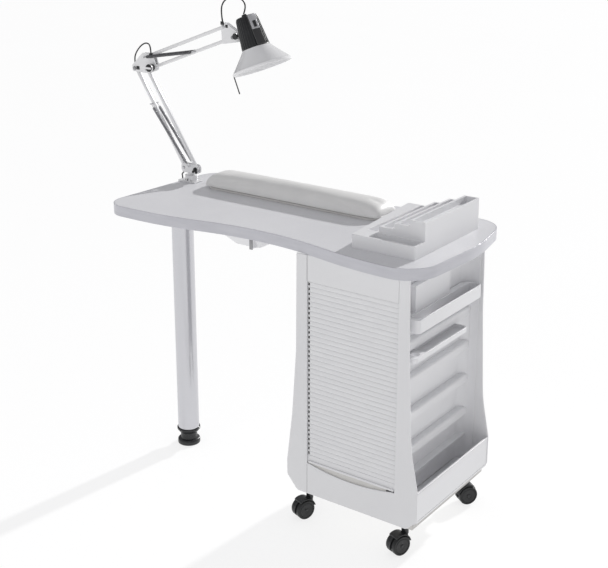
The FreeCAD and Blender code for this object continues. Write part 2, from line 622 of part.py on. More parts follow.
def make_lamp_base():
    x, y = S.lamp_x, S.lamp_y
    clamp = fuse("ClampBody",
                 box("ClampTop", "lamp_x - 36", "lamp_y - 17", "top_z", "61", "34", "4"),
                 box("ClampBack", "lamp_x - 36", "lamp_y - 17", "top_z - 62", "5", "34", "66"),
                 box("ClampLow", "lamp_x - 36", "lamp_y - 17", "top_z - 62", "53", "34", "8"),
                 cylinder("ClampCup", "lamp_x", "lamp_y", "top_z + 4", "18", "16"),
                 cylinder("Gland", "gland_x", "gland_y", "gland_low", "gland_r", "gland_high - gland_low"))
    bores = [cylinder("SpindleBore", "lamp_x", "lamp_y", "top_z + 4", "6 + running", "20"),
             cylinder("ScrewBore", "lamp_x", "lamp_y", "top_z - 64", "5 + running", "14")]
    keep("lamp_clamp", cut("LampClamp", clamp, *bores))
    screw = fuse("ClampScrewBody",
                 cylinder("ClampStud", "lamp_x", "lamp_y", "top_z - 96", "5", "60"),
                 cylinder("ClampPad", "lamp_x", "lamp_y", "top_z - top_thick - 8.2", "12", "8"),
                 box("ClampWing", "lamp_x - 16", "lamp_y - 3", "top_z - 96", "32", "6", "16"))
    keep("clamp_screw", screw)
    z = S.arm_z
    outline = [(x - 31, z - 13), (x + 31, z - 13), (x + 31, z + 12), (x - 31, z + 12)]
    cheeks = plates(outline, 9, (L.base_a, L.base_b), (L.anchor,))
    width = S.tube + 1 + 2 * S.plate
    bridge = Part.makeBox(44, width, 4, Vector(x - 22, y - width / 2, S.arm_z - 14))
    spindle = Part.makeCylinder(6, S.arm_z - 13 - S.top_z - 5, Vector(x, y, S.top_z + 5))
    skirt = Part.makeCylinder(10, S.arm_z - 13 - S.top_z - 20.4, Vector(x, y, S.top_z + 20.4))
    keep("lamp_yoke", feature("LampYoke", cheeks.multiFuse([bridge, spindle, skirt]).removeSplitter()))


def spring_pair(label, start, end, short):
    """Two springs side by side, stopping short of the pins that hold them."""
    along = (end - start).normalize()
    rods = []
    for side in (-S.spring_y, S.spring_y):
        foot = start + along * short + Vector(0, side, 0)
        rods.append(Part.makeCylinder(S.spring_r, start.distanceToPoint(end) - 2 * short, foot, along))
    keep(label, feature(label.title().replace("_", ""), Part.makeCompound(rods)))


def make_lamp_arms():
    low_peg, high_peg = 0.64, 0.54
    bar("lower_bar_outer", L.base_a, L.elbow_a, low_peg)
    bar("lower_bar_inner", L.base_b, L.elbow_b)
    bar("upper_bar_top", L.elbow_u, L.head_u)
    bar("upper_bar_low", L.elbow_l, L.head_l, high_peg)
    spring_pair("lower_springs", L.base_a + (L.elbow_a - L.base_a) * low_peg, L.anchor, 9)
    spring_pair("upper_springs", L.elbow_l + (L.head_l - L.elbow_l) * high_peg, L.elbow_u, 9)
    a, b, u, low = L.elbow_a, L.elbow_b, L.elbow_u, L.elbow_l
    outline = [(a.x - 10, a.z - 9), (b.x + 5, b.z - 10), (low.x + 10, low.z - 8), (low.x + 10, low.z + 9),
               (u.x + 31, u.z + 11), (u.x - 9, u.z + 11), (a.x - 11, a.z + 8)]
    keep("elbow_bracket", feature("ElbowBracket", plates(outline, 6, (a, b, low), (u,))))
    knob = fuse("ElbowKnobBody",
                cylinder("ElbowKnobGrip", low.x, "lamp_y - 26", low.z, "10", "14", ALONG_Y),
                cylinder("ElbowKnobNeck", low.x, "lamp_y - 13", low.z, "6", "5.6", ALONG_Y))
    keep("elbow_knob", knob)
    u, low, tilt = L.head_u, L.head_l, L.tilt
    outline = [(u.x - 5, u.z - 46), (tilt.x + 2, tilt.z - 16), (tilt.x + 9, tilt.z + 7), (u.x + 9, u.z + 10),
               (u.x - 9, u.z + 10)]
    keep("head_bracket", feature("HeadBracket", plates(outline, 5, (u, low, tilt))))


def head_place(along, right=0, far=0):
    """A point of the lamp head: along mm down its axis from the closed top, then across it."""
    tilt = math.radians(S.head_tilt)
    top = L.tilt + Vector(25.5, 0, 52)
    down = Vector(math.sin(tilt), 0, -math.cos(tilt))
    across = Vector(math.cos(tilt), 0, math.sin(tilt))
    return top + down * along + across * right + Vector(0, far, 0)


def head_turned(solid, along=0, right=0, far=0):
    """Puts a solid made about the origin, axis down -Z, onto the lamp head."""
    turn = Placement(head_place(along, right, far), Rotation(Vector(0, 1, 0), -S.head_tilt))
    solid.Placement = turn.multiply(solid.Placement)
    return solid


def on_spine(solid):
    """Puts a solid made on the YZ plane onto the flat spine down the front of the housing."""
    lean = math.degrees(math.atan2(S.housing_low_r - S.housing_r, S.housing_long))
    front = Placement(Vector(), Rotation(UP, -S.spine_turn)).multiply(
        Placement(Vector(S.housing_r, 0, 0), Rotation(Vector(0, 1, 0), -lean)))
    solid.Placement = front
    return head_turned(solid)


def head_solid(profile):
    """A solid of revolution about the head's axis from (along, radius) corners."""
    points = [Vector(radius, 0, -along) for along, radius in profile]
    wire = Part.makePolygon(points + [points[0]])
    return head_turned(Part.Face(wire).revolve(Vector(), UP, 360))


def make_lamp_head():
    long, neck, end, wall = S.housing_long, S.shade_neck_r, S.head_long, 3
    housing = head_solid([(0, 0), (0, S.housing_r), (long, S.housing_low_r), (long, S.housing_low_r - wall),
                          (6, S.housing_r - wall), (6, 0)])
    inside = head_solid([(0, 0), (0, S.housing_r - 1), (long, S.housing_low_r - 1), (long, 0)])
    holder = head_solid([(5, 0), (5, 17), (44, 17), (44, 0)])
    lug = Part.makeBox(40, S.tube, 10, Vector(L.tilt.x - 5, S.lamp_y - S.tube / 2, L.tilt.z - 5)).cut(inside)
    eye = Part.makeCylinder(S.pin_r + S.running, 20, L.tilt - Vector(0, 10, 0), Vector(0, 1, 0))
    spine = on_spine(Part.makeBox(8, 24, long - 1, Vector(-4, -12, 1 - long))).cut(inside)
    gland = head_turned(Part.makeCylinder(7, 8, Vector(0, 0, -1)), 0, -4)
    well = on_spine(Part.makeBox(4, 10, 20, Vector(1, -5, -38.5)))
    housing = housing.multiFuse([holder, lug, spine, gland]).cut(eye).cut(well).removeSplitter()
    keep("lamp_housing", feature("LampHousing", housing.Solids[0]))
    rocker = Part.makeBox(5.5, 8, 17, Vector(2.6, -4, -37))
    rocker_pin = Part.makeCylinder(1.2, 9.6, Vector(4.1, -4.8, -28.5), Vector(0, 1, 0))
    keep("rocker_switch", feature("RockerSwitch", on_spine(rocker.fuse(rocker_pin))))
    lip = 4
    shade = head_solid([(long + 0.3, neck - 4), (long + 0.3, neck), (end - lip - 3, S.shade_r - 2),
                        (end - lip, S.shade_r), (end, S.shade_r), (end, S.shade_r - 3),
                        (end - lip - 2, S.shade_r - 5), (long + 3, neck - 4)])
    keep("lamp_shade", feature("LampShade", shade))
    bulb = head_solid([(44.2, 0), (44.2, 13), (70, 15), (88, 27), (104, 30), (117, 24), (125, 0)])
    keep("bulb", feature("Bulb", bulb))
    rod = Part.makeCylinder(S.rod_r, S.rod_long, Vector(0, 0, -S.rod_long))
    side = math.radians(37)
    reach = S.shade_r - 2.4
    head_turned(rod, end + 0.1, -reach * math.cos(side), -reach * math.sin(side))
    keep("aim_rod", feature("AimRod", rod))


# ---------------------------------------------------------------- cables and mains cord
def tube(label, points, radius):
    """Round tube along straight runs joined by tangent arcs, each as wide as its shorter run allows."""
    points = [Vector(*point) for point in points]
    tightest = math.inf
    edges, start = [], points[0]
    for before, corner, after in zip(points, points[1:], points[2:]):
        into, out = corner - before, after - corner
        reach = 0.45 * min(into.Length, out.Length)
        into.normalize()
        out.normalize()
        turn = into.getAngle(out)
        arc_r = reach / math.tan(turn / 2)
        tightest = min(tightest, arc_r)
        middle = corner + (out - into).normalize() * (arc_r / math.cos(turn / 2) - arc_r)
        edges.append(Part.LineSegment(start, corner - into * reach).toShape())
        edges.append(Part.Arc(corner - into * reach, middle, corner + out * reach).toShape())
        start = corner + out * reach
    edges.append(Part.LineSegment(start, points[-1]).toShape())
    spine = Part.Wire(edges)
    ring = Part.Wire(Part.makeCircle(radius, points[0], points[1] - points[0]))
    solid = spine.makePipeShell([ring], True, False)
    filled = solid.Volume / (math.pi * radius ** 2 * spine.Length)
    print(f"{label}: {spine.Length:.0f} mm long, tightest arc {tightest:.1f} mm, volume x{filled:.3f}")
    keep(label, feature(label.title().replace("_", ""), solid))


def make_cables():
    """Three short loops that let the arms move; the rest of the cable is inside the bars."""
    x, y = S.lamp_x, S.lamp_y
    gland = Vector(S.gland_x, S.gland_y, S.gland_high)
    tube("base_cable", [(x - 23.5, y, S.arm_z - 12), (x - 39, y + 3, S.arm_z - 23),
                        gland + UP * 15, gland + UP * 0.1], S.cable_r)
    cheek_y = y - S.tube / 2 - 0.5 - S.plate / 2
    a = L.elbow_a
    clip_y = cheek_y - 0.7
    tube("elbow_cable", [(a.x - 3.5, y, a.z + 5.5), (a.x - 6.5, y - 2, a.z + 26),
                         (a.x + 6.5, y - 4, a.z + 49), (a.x + 30.5, y - 6, a.z + 70),
                         (a.x + 50.5, clip_y + 0.2, a.z + 76), (a.x + 62.5, clip_y, a.z + 67),
                         (a.x + 62.5, clip_y, a.z + 46.1)], S.cable_r)
    u = L.head_u
    tube("head_cable", [(u.x - 2.5, cheek_y, u.z + 10.6), (u.x - 8.5, cheek_y - 1, u.z + 44),
                        (u.x + 5.5, cheek_y - 3, u.z + 70), (u.x + 36.5, cheek_y - 4, u.z + 83),
                        (u.x + 66.5, cheek_y - 1, u.z + 76), (u.x + 74.5, cheek_y + 3, u.z + 56),
                        head_place(-8.8, -4)], S.cable_r)


CORD = [
    (-94, 112, 725.5), (-96, 116, 682), (-72, 148, 660), (-30, 161, 680), (6, 163, 709), (70, 167, 713),
    (148, 159, 711), (226, 167, 713), (304, 159, 711), (378, 165, 713), (446, 176, 712), (500, 197, 711),
    (546, 204, 706), (563, 203, 643), (556, 205, 570), (563, 203, 495), (556, 205, 420), (563, 203, 345),
    (556, 205, 270), (563, 203, 195), (557, 204, 120), (560, 204, 50), (598, 197, 3.2), (636, 184.5, 3.2),
]


def make_mains():
    """Mains cord clipped under the top, down behind the cabinet and coiled on the floor with its plug."""
    tube("mains_cord", CORD, S.cord_r)
    clips = []
    for i in (5, 7, 9):
        x, y, z = CORD[i]
        block = box(f"ClipBlock{i}", x - 4, y - 8, z - 7, "8", "16", f"top_z - top_thick - {z} + 7")
        slot = box(f"ClipSlot{i}", x - 5, y - 5.6, z - 4, "10", "10.5", "7.6")
        clips.append(cut(f"Clip{i}", block, slot))
    keep("cord_clips", group("CordClips", *clips))
    high = 2 * S.cord_r * S.coil_turns
    outer = cylinder("CoilOuter", "coil_x", "coil_y", 0, "coil_r + cord_r", high)
    inner = cylinder("CoilInner", "coil_x", "coil_y", 0, "coil_r - cord_r", high)
    keep("cord_coil", cut("CordCoil", outer, inner))
    plug = fuse("PlugShape",
                box("PlugBody", 12, "0 - 13", 0, 32, 26, "plug_thick"),
                cylinder("PlugRelief", 0, 0, "plug_thick / 2", "4", 13, ALONG_X),
                cylinder("PlugPinA", 43, "0 - 9.3", "plug_thick / 2", "2", 19, ALONG_X),
                cylinder("PlugPinB", 43, "9.3", "plug_thick / 2", "2", 19, ALONG_X))
    leave = -60
    rest = Vector(S.coil_x, S.coil_y, 0) + Rotation(UP, leave).multVec(Vector(S.coil_r, 16, 0))
    place(plug, rest.x, rest.y, 0, Rotation(UP, leave + 90))
    keep("plug", plug)


# ---------------------------------------------------------------- everything
def main():
    make_top()
    make_leg()
    make_cabinet()
    make_shutter()
    make_trays()
    make_casters()
    make_cushion()
    make_rack()
    make_dish()
    make_lamp_base()
    make_lamp_arms()
    make_lamp_head()
    make_cables()
    make_mains()
    DOC.recompute()
    faults = [item.Name for item in DOC.Objects if {"Invalid", "Error"} & set(item.State)]
    faults += [item.Label for item in PARTS if item.Shape.isNull() or not item.Shape.isValid()]
    if faults:
        raise SystemExit(f"failed objects: {faults}")
    os.makedirs("parts", exist_ok=True)
    for item in PARTS:
        item.Shape.exportStep(f"parts/{item.Label}.step")
    print(len(PARTS), "sub-parts written")


main()
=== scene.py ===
"""Looks of the manicure table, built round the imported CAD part. Metres, in the part's own frame.

X runs along the table from the leg to the cabinet, Y from the client's long edge to the back, Z up.
"""

import json
import math

import bmesh
import bpy
from mathutils import Matrix, Vector


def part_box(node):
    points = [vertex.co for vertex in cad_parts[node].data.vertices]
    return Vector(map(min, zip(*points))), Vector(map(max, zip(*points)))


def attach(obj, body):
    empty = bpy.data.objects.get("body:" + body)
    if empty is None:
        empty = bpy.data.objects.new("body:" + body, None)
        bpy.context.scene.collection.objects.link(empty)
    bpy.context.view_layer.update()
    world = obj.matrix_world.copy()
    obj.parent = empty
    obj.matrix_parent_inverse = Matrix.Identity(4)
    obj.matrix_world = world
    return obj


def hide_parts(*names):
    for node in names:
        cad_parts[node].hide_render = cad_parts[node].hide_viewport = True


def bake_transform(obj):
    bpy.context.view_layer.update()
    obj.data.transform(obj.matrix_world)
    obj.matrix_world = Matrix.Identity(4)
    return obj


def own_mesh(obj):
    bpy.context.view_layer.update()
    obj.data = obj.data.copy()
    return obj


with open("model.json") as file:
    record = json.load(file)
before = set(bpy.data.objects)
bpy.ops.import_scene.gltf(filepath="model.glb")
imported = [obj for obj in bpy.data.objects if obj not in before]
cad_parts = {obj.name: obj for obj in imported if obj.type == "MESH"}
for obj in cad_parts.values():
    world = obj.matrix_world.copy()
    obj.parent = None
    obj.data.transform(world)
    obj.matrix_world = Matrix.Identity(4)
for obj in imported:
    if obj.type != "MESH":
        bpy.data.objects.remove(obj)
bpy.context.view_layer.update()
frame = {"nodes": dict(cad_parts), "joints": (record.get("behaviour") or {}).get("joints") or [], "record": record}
SCENE = bpy.context.scene
RECORD = frame["record"]
BODY_OF = {node: body for body, nodes in RECORD["behaviour"]["bodies"].items() for node in nodes}
SLOT_OF = {part["node"]: part["material_slot"] for part in RECORD["subparts"]}
JOINT = {joint["name"]: joint for joint in frame["joints"]}
UP = Vector((0, 0, 1))

# The camera fitted to the photograph: place in metres, tilt and turn in radians, lens in mm.
CAMERA_PLACE = (2.0767, -2.3164, 1.6054)
CAMERA_DOWN, CAMERA_TURN = 0.29642, 0.62378
CAMERA_LENS, CAMERA_SHIFT = 69.966, -0.1

SUN_STRENGTH, SUN_DEGREES, SUN_HEIGHT = 2.9, 2.0, math.radians(24)
# Area lights: name, place, size in metres, power in watts. They point at the middle of the table.
FILLS = (("SideFill", (3.6, -0.8, 1.6), 2.4, 5), ("FrontFill", (0.2, -3.4, 2.3), 2.6, 14))
# Dark patches of the surroundings: the way to them, and the cosines where each is full and where it ends.
DARK_PATCHES = ((0.97, -0.23, 0.965, 0.90), (-0.95, 0.31, 0.95, 0.86))
FLOOR_HALF, FLOOR_LEVEL = 30, -0.0005


def mm(x, y, z):
    return Vector((x, y, z)) / 1000


# ---------------------------------------------------------------- camera
def make_camera():
    data = bpy.data.cameras.new("Camera")
    data.sensor_width = 36
    data.lens = CAMERA_LENS
    data.shift_y = CAMERA_SHIFT
    data.clip_start, data.clip_end = 0.05, 60
    camera = bpy.data.objects.new("Camera", data)
    camera.location = CAMERA_PLACE
    camera.rotation_euler = (math.pi / 2 - CAMERA_DOWN, 0, CAMERA_TURN)
    SCENE.collection.objects.link(camera)
    SCENE.camera = camera


# ---------------------------------------------------------------- materials
def new_material(name):
    """A material with its node tree and its shader."""
    material = bpy.data.materials.new(name)
    material.use_nodes = True
    tree = material.node_tree
    shader = tree.nodes["Principled BSDF"]
    return material, tree, shader


def node(tree, kind, **values):
    """A new node with its inputs or its settings filled in."""
    made = tree.nodes.new(kind)
    for key, value in values.items():
        if key in made.inputs:
            made.inputs[key].default_value = value
        else:
            setattr(made, key, value)
    return made


def stretched(tree, scale):
    """Object coordinates scaled along each axis, in cycles a metre."""
    place = node(tree, "ShaderNodeTexCoord")
    mapping = node(tree, "ShaderNodeMapping")
    mapping.inputs["Scale"].default_value = scale
    tree.links.new(place.outputs["Object"], mapping.inputs["Vector"])
    return mapping.outputs["Vector"]


def noise(tree, scale, detail=3.0, stretch=(1, 1, 1)):
    texture = node(tree, "ShaderNodeTexNoise", Scale=scale, Detail=detail)
    tree.links.new(stretched(tree, stretch), texture.inputs["Vector"])
    return texture.outputs["Fac"]


def span(tree, value, low, high, start=0.3, end=0.7):
    """Maps a 0..1 texture value from start..end to low..high."""
    ramp = node(tree, "ShaderNodeMapRange")
    for key, number in (("From Min", start), ("From Max", end), ("To Min", low), ("To Max", high)):
        ramp.inputs[key].default_value = number
    tree.links.new(value, ramp.inputs["Value"])
    return ramp.outputs["Result"]


def tint(tree, value, dark, light):
    mix = node(tree, "ShaderNodeMix", data_type="RGBA")
    mix.inputs["A"].default_value = (*dark, 1)
    mix.inputs["B"].default_value = (*light, 1)
    tree.links.new(value, mix.inputs["Factor"])
    return mix.outputs["Result"]


def bumped(tree, shader, heights):
    """Chains bump nodes from (texture value, strength, depth in metres)."""
    normal = None
    for value, strength, depth in heights:
        bump = node(tree, "ShaderNodeBump", Strength=strength, Distance=depth)
        tree.links.new(value, bump.inputs["Height"])
        if normal:
            tree.links.new(normal, bump.inputs["Normal"])
        normal = bump.outputs["Normal"]
    tree.links.new(normal, shader.inputs["Normal"])


def moulded(name, dark, light, rough, grain, depth, patch, gloss=0.5, stretch=(1, 1, 1), coat=0.0):
    """A surface with soft colour patches, a fine grain and uneven gloss."""
    material, tree, shader = new_material(name)
    shader.inputs["Specular IOR Level"].default_value = gloss
    shader.inputs["Coat Weight"].default_value = coat
    shader.inputs["Coat Roughness"].default_value = 0.08
    patches = noise(tree, patch, 2.0, stretch)
    fine = noise(tree, grain, 2.0, stretch)
    tree.links.new(tint(tree, span(tree, patches, 0, 1, 0.2, 0.8), dark, light), shader.inputs["Base Color"])
    tree.links.new(span(tree, noise(tree, patch * 3, 2.0, stretch), rough * 0.9, rough * 1.12, 0.2, 0.8),
                   shader.inputs["Roughness"])
    bumped(tree, shader, [(fine, 0.5, depth)])
    return material


def speckled(name, ground, fleck, rough):
    """Laminate: a pale ground with fine darker flecks and a satin orange-peel surface."""
    material, tree, shader = new_material(name)
    fine = noise(tree, 1500, 2.0)
    broad = noise(tree, 6, 4.0)
    flecks = tint(tree, span(tree, fine, 1, 0, 0.36, 0.48), ground, fleck)
    shade = node(tree, "ShaderNodeMix", data_type="RGBA", blend_type="MULTIPLY")
    shade.inputs["Factor"].default_value = 1
    tree.links.new(flecks, shade.inputs["A"])
    tree.links.new(tint(tree, span(tree, broad, 0, 1), (0.95, 0.95, 0.955), (1, 1, 1)), shade.inputs["B"])
    tree.links.new(shade.outputs["Result"], shader.inputs["Base Color"])
    tree.links.new(span(tree, noise(tree, 40, 4.0), rough * 0.85, rough * 1.15), shader.inputs["Roughness"])
    bumped(tree, shader, [(noise(tree, 900, 2.0), 0.35, 0.00004)])
    return material


def leathery(name, dark, light):
    """Vinyl: a pebbled grain from voronoi cells, soft creases and a faint sheen."""
    material, tree, shader = new_material(name)
    cells = node(tree, "ShaderNodeTexVoronoi", Scale=1, feature="DISTANCE_TO_EDGE")
    tree.links.new(stretched(tree, (760, 620, 760)), cells.inputs["Vector"])
    pebble = span(tree, cells.outputs["Distance"], 0, 1, 0.0, 0.22)
    crease = noise(tree, 22, 5.0, (1, 0.6, 1))
    patches = span(tree, noise(tree, 14, 5.0), 0, 1)
    tree.links.new(tint(tree, patches, dark, light), shader.inputs["Base Color"])
    tree.links.new(span(tree, pebble, 0.52, 0.40, 0, 1), shader.inputs["Roughness"])
    shader.inputs["Sheen Weight"].default_value = 0.12
    shader.inputs["Sheen Roughness"].default_value = 0.4
    bumped(tree, shader, [(crease, 0.30, 0.0012), (pebble, 0.28, 0.00009)])
    return material


def brushed(name, colour, rough, stretch):
    """Metal with fine brush lines along the short axis of the stretch."""
    material, tree, shader = new_material(name)
    lines = noise(tree, 1, 3.0, stretch)
    shader.inputs["Metallic"].default_value = 1
    shader.inputs["Anisotropic"].default_value = 0.5
    darker = tuple(channel * 0.86 for channel in colour)
    tree.links.new(tint(tree, span(tree, lines, 0, 1), darker, colour), shader.inputs["Base Color"])
    tree.links.new(span(tree, lines, rough * 1.25, rough * 0.8), shader.inputs["Roughness"])
    bumped(tree, shader, [(lines, 0.10, 0.00003), (noise(tree, 30, 3.0), 0.06, 0.0006)])
    return material


def frosted(name, colour):
    """Glass of a bulb that is white inside, under a clear coat."""
    material, tree, shader = new_material(name)
    shader.inputs["Roughness"].default_value = 0.25
    shader.inputs["Subsurface Weight"].default_value = 0.3
    shader.inputs["Subsurface Radius"].default_value = (0.01, 0.01, 0.01)
    shader.inputs["Coat Weight"].default_value = 0.6
    tree.links.new(tint(tree, span(tree, noise(tree, 60), 0, 1), tuple(c * 0.95 for c in colour), colour),
                   shader.inputs["Base Color"])
    bumped(tree, shader, [(noise(tree, 300), 0.1, 0.00005)])
    return material


def make_materials():
    white, shade = (0.80, 0.80, 0.81), (0.755, 0.755, 0.77)
    return {
        "laminate": speckled("Laminate", (0.80, 0.80, 0.82), (0.66, 0.66, 0.69), 0.36),
        "band": moulded("EdgeBand", (0.53, 0.53, 0.57), (0.60, 0.60, 0.64), 0.30, 500, 0.00004, 14, 0.6,
                        stretch=(1, 1, 6)),
        "satin_chrome": brushed("SatinChrome", (0.64, 0.64, 0.67), 0.22, (240, 240, 2600)),
        "steel": brushed("Steel", (0.62, 0.62, 0.64), 0.30, (900, 900, 300)),
        "black_plastic": moulded("BlackPlastic", (0.010, 0.011, 0.012), (0.020, 0.021, 0.023), 0.32, 900,
                                 0.00005, 40, 0.5),
        "caster_tread": moulded("CasterTread", (0.009, 0.010, 0.011), (0.018, 0.019, 0.020), 0.42, 1200,
                                0.00006, 60, 0.45),
        "cabinet_plastic": moulded("CabinetPlastic", shade, white, 0.46, 850, 0.00007, 5, 0.45),
        "board": moulded("Board", (0.62, 0.61, 0.59), (0.68, 0.67, 0.65), 0.6, 300, 0.00010, 12, 0.3),
        "tray_plastic": moulded("TrayPlastic", (0.80, 0.80, 0.815), (0.83, 0.83, 0.845), 0.42, 600, 0.00002,
                                5, 0.4),
        "slat_plastic": moulded("SlatPlastic", (0.75, 0.75, 0.765), white, 0.42, 700, 0.00005, 20, 0.45,
                                stretch=(1, 1, 8)),
        "roller_steel": brushed("RollerSteel", (0.55, 0.55, 0.57), 0.35, (60, 2000, 2000)),
        "vinyl": leathery("Vinyl", (0.80, 0.795, 0.785), (0.85, 0.845, 0.835)),
        "lamp_paint": moulded("LampPaint", (0.82, 0.82, 0.83), (0.86, 0.86, 0.87), 0.20, 220, 0.00006, 25,
                              coat=0.5),
        "bulb_glass": frosted("BulbGlass", (0.90, 0.90, 0.88)),
        "black_wire": moulded("BlackWire", (0.012, 0.012, 0.013), (0.022, 0.022, 0.024), 0.38, 900, 0.00005,
                              80, 0.5),
        "cord_pvc": moulded("CordPvc", (0.70, 0.70, 0.70), (0.75, 0.75, 0.75), 0.40, 900, 0.00005, 60, 0.45),
        "clip_plastic": moulded("ClipPlastic", (0.66, 0.66, 0.67), (0.72, 0.72, 0.73), 0.45, 700, 0.00005,
                                60),
        # Near-black painted shade for the notches at the slats' left ends, standing for the shadow in them.
        "gap": moulded("SlotShade", (0.012, 0.012, 0.012), (0.020, 0.020, 0.020), 0.7, 500, 0.00005, 50, 0.2),
        "joint_line": moulded("JointLine", (0.20, 0.20, 0.21), (0.26, 0.26, 0.27), 0.6, 500, 0.00005, 50,
                              0.2),
        "silver": brushed("SwitchPlate", (0.72, 0.72, 0.74), 0.30, (500, 500, 60)),
        "spring_wire": brushed("SpringWire", (0.46, 0.46, 0.48), 0.28, (300, 300, 300)),
        "dark_spring": brushed("DarkSpring", (0.22, 0.22, 0.23), 0.34, (300, 300, 300)),
        "gloss_black": moulded("GlossBlack", (0.010, 0.010, 0.011), (0.016, 0.016, 0.018), 0.16, 300, 0.00003,
                               30, 0.5, coat=0.8),
        "grey_knob": moulded("GreyKnob", (0.30, 0.30, 0.31), (0.37, 0.37, 0.38), 0.42, 700, 0.00005, 60),
    }


LOOKS = make_materials()


# ---------------------------------------------------------------- mesh helpers
def link(item):
    SCENE.collection.objects.link(item)
    return item


def mesh_piece(name, vertices, faces):
    mesh = bpy.data.meshes.new(name)
    mesh.from_pydata([tuple(vertex) for vertex in vertices], [], faces)
    mesh.validate()
    return link(bpy.data.objects.new(name, mesh))


def settle(piece, slot, body=None, nodes=(), look=None, angle=35):
    """Shades and paints a piece with its slot's look, hides the CAD nodes it stands for, and lets it ride."""
    if look or not piece.data.materials:
        piece.data.materials.clear()
        piece.data.materials.append(LOOKS[look or slot])
    for polygon in piece.data.polygons:
        polygon.use_smooth = True
    piece.data.set_sharp_from_angle(angle=math.radians(angle))
    if nodes:
        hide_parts(*nodes)
    if body:
        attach(piece, body)
    return piece


def baked(piece):
    """The piece with its modifiers applied."""
    graph = bpy.context.evaluated_depsgraph_get()
    mesh = bpy.data.meshes.new_from_object(piece.evaluated_get(graph))
    piece.modifiers.clear()
    piece.data = mesh
    return piece


def rounded(piece, width, segments=2, merged=True):
    """Bevels every edge sharper than 30 degrees, with the flat faces merged first unless they ring a hole."""
    stored = piece.data.attributes.get("custom_normal")
    if stored:
        piece.data.attributes.remove(stored)
    work = bmesh.new()
    work.from_mesh(piece.data)
    bmesh.ops.remove_doubles(work, verts=work.verts, dist=2e-6)
    if merged:
        bmesh.ops.dissolve_limit(work, angle_limit=math.radians(0.2), verts=work.verts, edges=work.edges)
    bmesh.ops.recalc_face_normals(work, faces=work.faces)
    work.to_mesh(piece.data)
    work.free()
    bevel = piece.modifiers.new("Rounding", "BEVEL")
    bevel.width = width
    bevel.segments = segments
    bevel.limit_method = "ANGLE"
    bevel.angle_limit = math.radians(30)
    bevel.use_clamp_overlap = False
    bevel.miter_outer = "MITER_ARC"
    for polygon in piece.data.polygons:
        polygon.use_smooth = True
    bevel.harden_normals = True
    return baked(piece)


def softened(node_name, width, segments=2, merged=True):
    """A CAD node's copy with edges rounded by a width in mm, standing for the node."""
    mesh = frame["nodes"][node_name].data.copy()
    mesh.materials.clear()
    piece = link(bpy.data.objects.new(node_name + "_soft", mesh))
    rounded(piece, width / 1000, segments, merged)
    painted(piece, SLOT_OF[node_name])
    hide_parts(node_name)
    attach(piece, BODY_OF[node_name])
    return piece


def axes(origin, along, side=None):
    """A matrix whose Z is along, placed at the origin."""
    z = Vector(along).normalized()
    hint = Vector(side) if side else (Vector((1, 0, 0)) if abs(z.x) < 0.9 else Vector((0, 1, 0)))
    x = (hint - z * hint.dot(z)).normalized()
    y = z.cross(x)
    matrix = Matrix((x, y, z)).transposed().to_4x4()
    matrix.translation = origin
    return matrix


def lathe(name, profile, matrix=None, steps=64, wave=None):
    """Turns a profile of (radius, height) in mm about Z. A wave changes the radius round the turn."""
    vertices, faces = [], []
    for radius, height in profile:
        for k in range(steps):
            turn = 2 * math.pi * k / steps
            r = radius + (wave(turn, radius, height) if wave and radius > 0.5 else 0)
            vertices.append(mm(r * math.cos(turn), r * math.sin(turn), height))
    for i in range(len(profile) - 1):
        for k in range(steps):
            a, b = i * steps + k, i * steps + (k + 1) % steps
            faces.append((a, b, b + steps, a + steps))
    piece = mesh_piece(name, vertices, faces)
    work = bmesh.new()
    work.from_mesh(piece.data)
    bmesh.ops.remove_doubles(work, verts=work.verts, dist=1e-6)
    bmesh.ops.recalc_face_normals(work, faces=work.faces)
    work.to_mesh(piece.data)
    work.free()
    if matrix:
        piece.data.transform(matrix)
    return piece


def block(name, low, high, matrix=None, width=0.6, segments=2):
    """A box with rounded edges, corners in mm."""
    (x0, y0, z0), (x1, y1, z1) = low, high
    vertices = [mm(x, y, z) for x in (x0, x1) for y in (y0, y1) for z in (z0, z1)]
    faces = [(0, 1, 3, 2), (4, 6, 7, 5), (0, 4, 5, 1), (2, 3, 7, 6), (0, 2, 6, 4), (1, 5, 7, 3)]
    piece = mesh_piece(name, vertices, faces)
    if matrix:
        piece.data.transform(matrix)
    return rounded(piece, width / 1000, segments)


def joined(name, pieces):
    """One piece out of several, materials kept."""
    work = bmesh.new()
    looks = []
    for piece in pieces:
        start = len(work.faces)
        work.from_mesh(piece.data)
        work.faces.ensure_lookup_table()
        look = piece.data.materials[0] if piece.data.materials else None
        if look and look not in looks:
            looks.append(look)
        for face in work.faces[start:]:
            face.material_index = looks.index(look) if look else 0
    mesh = bpy.data.meshes.new(name)
    work.to_mesh(mesh)
    work.free()
    for look in looks:
        mesh.materials.append(look)
    for piece in pieces:
        bpy.data.objects.remove(piece)
    return link(bpy.data.objects.new(name, mesh))


def painted(piece, look):
    piece.data.materials.clear()
    piece.data.materials.append(LOOKS[look])
    return piece


def nurbs_curve(name, points):
    """A curve of one NURBS spline with these points in mm as its control points."""
    data = bpy.data.curves.new(name, "CURVE")
    data.dimensions = "3D"
    data.resolution_u = 12
    spline = data.splines.new("NURBS")
    spline.points.add(len(points) - 1)
    for control, point in zip(spline.points, points):
        control.co = (*(mm(*point)), 1)
    spline.order_u = 3
    spline.use_endpoint_u = True
    return link(bpy.data.objects.new(name, data))


def spline_points(points):
    """Points along the route's NURBS spline, in metres."""
    curve = nurbs_curve("Route", points)
    graph = bpy.context.evaluated_depsgraph_get()
    mesh = bpy.data.meshes.new_from_object(curve.evaluated_get(graph))
    found = [vertex.co.copy() for vertex in mesh.vertices]
    bpy.data.objects.remove(curve)
    return found


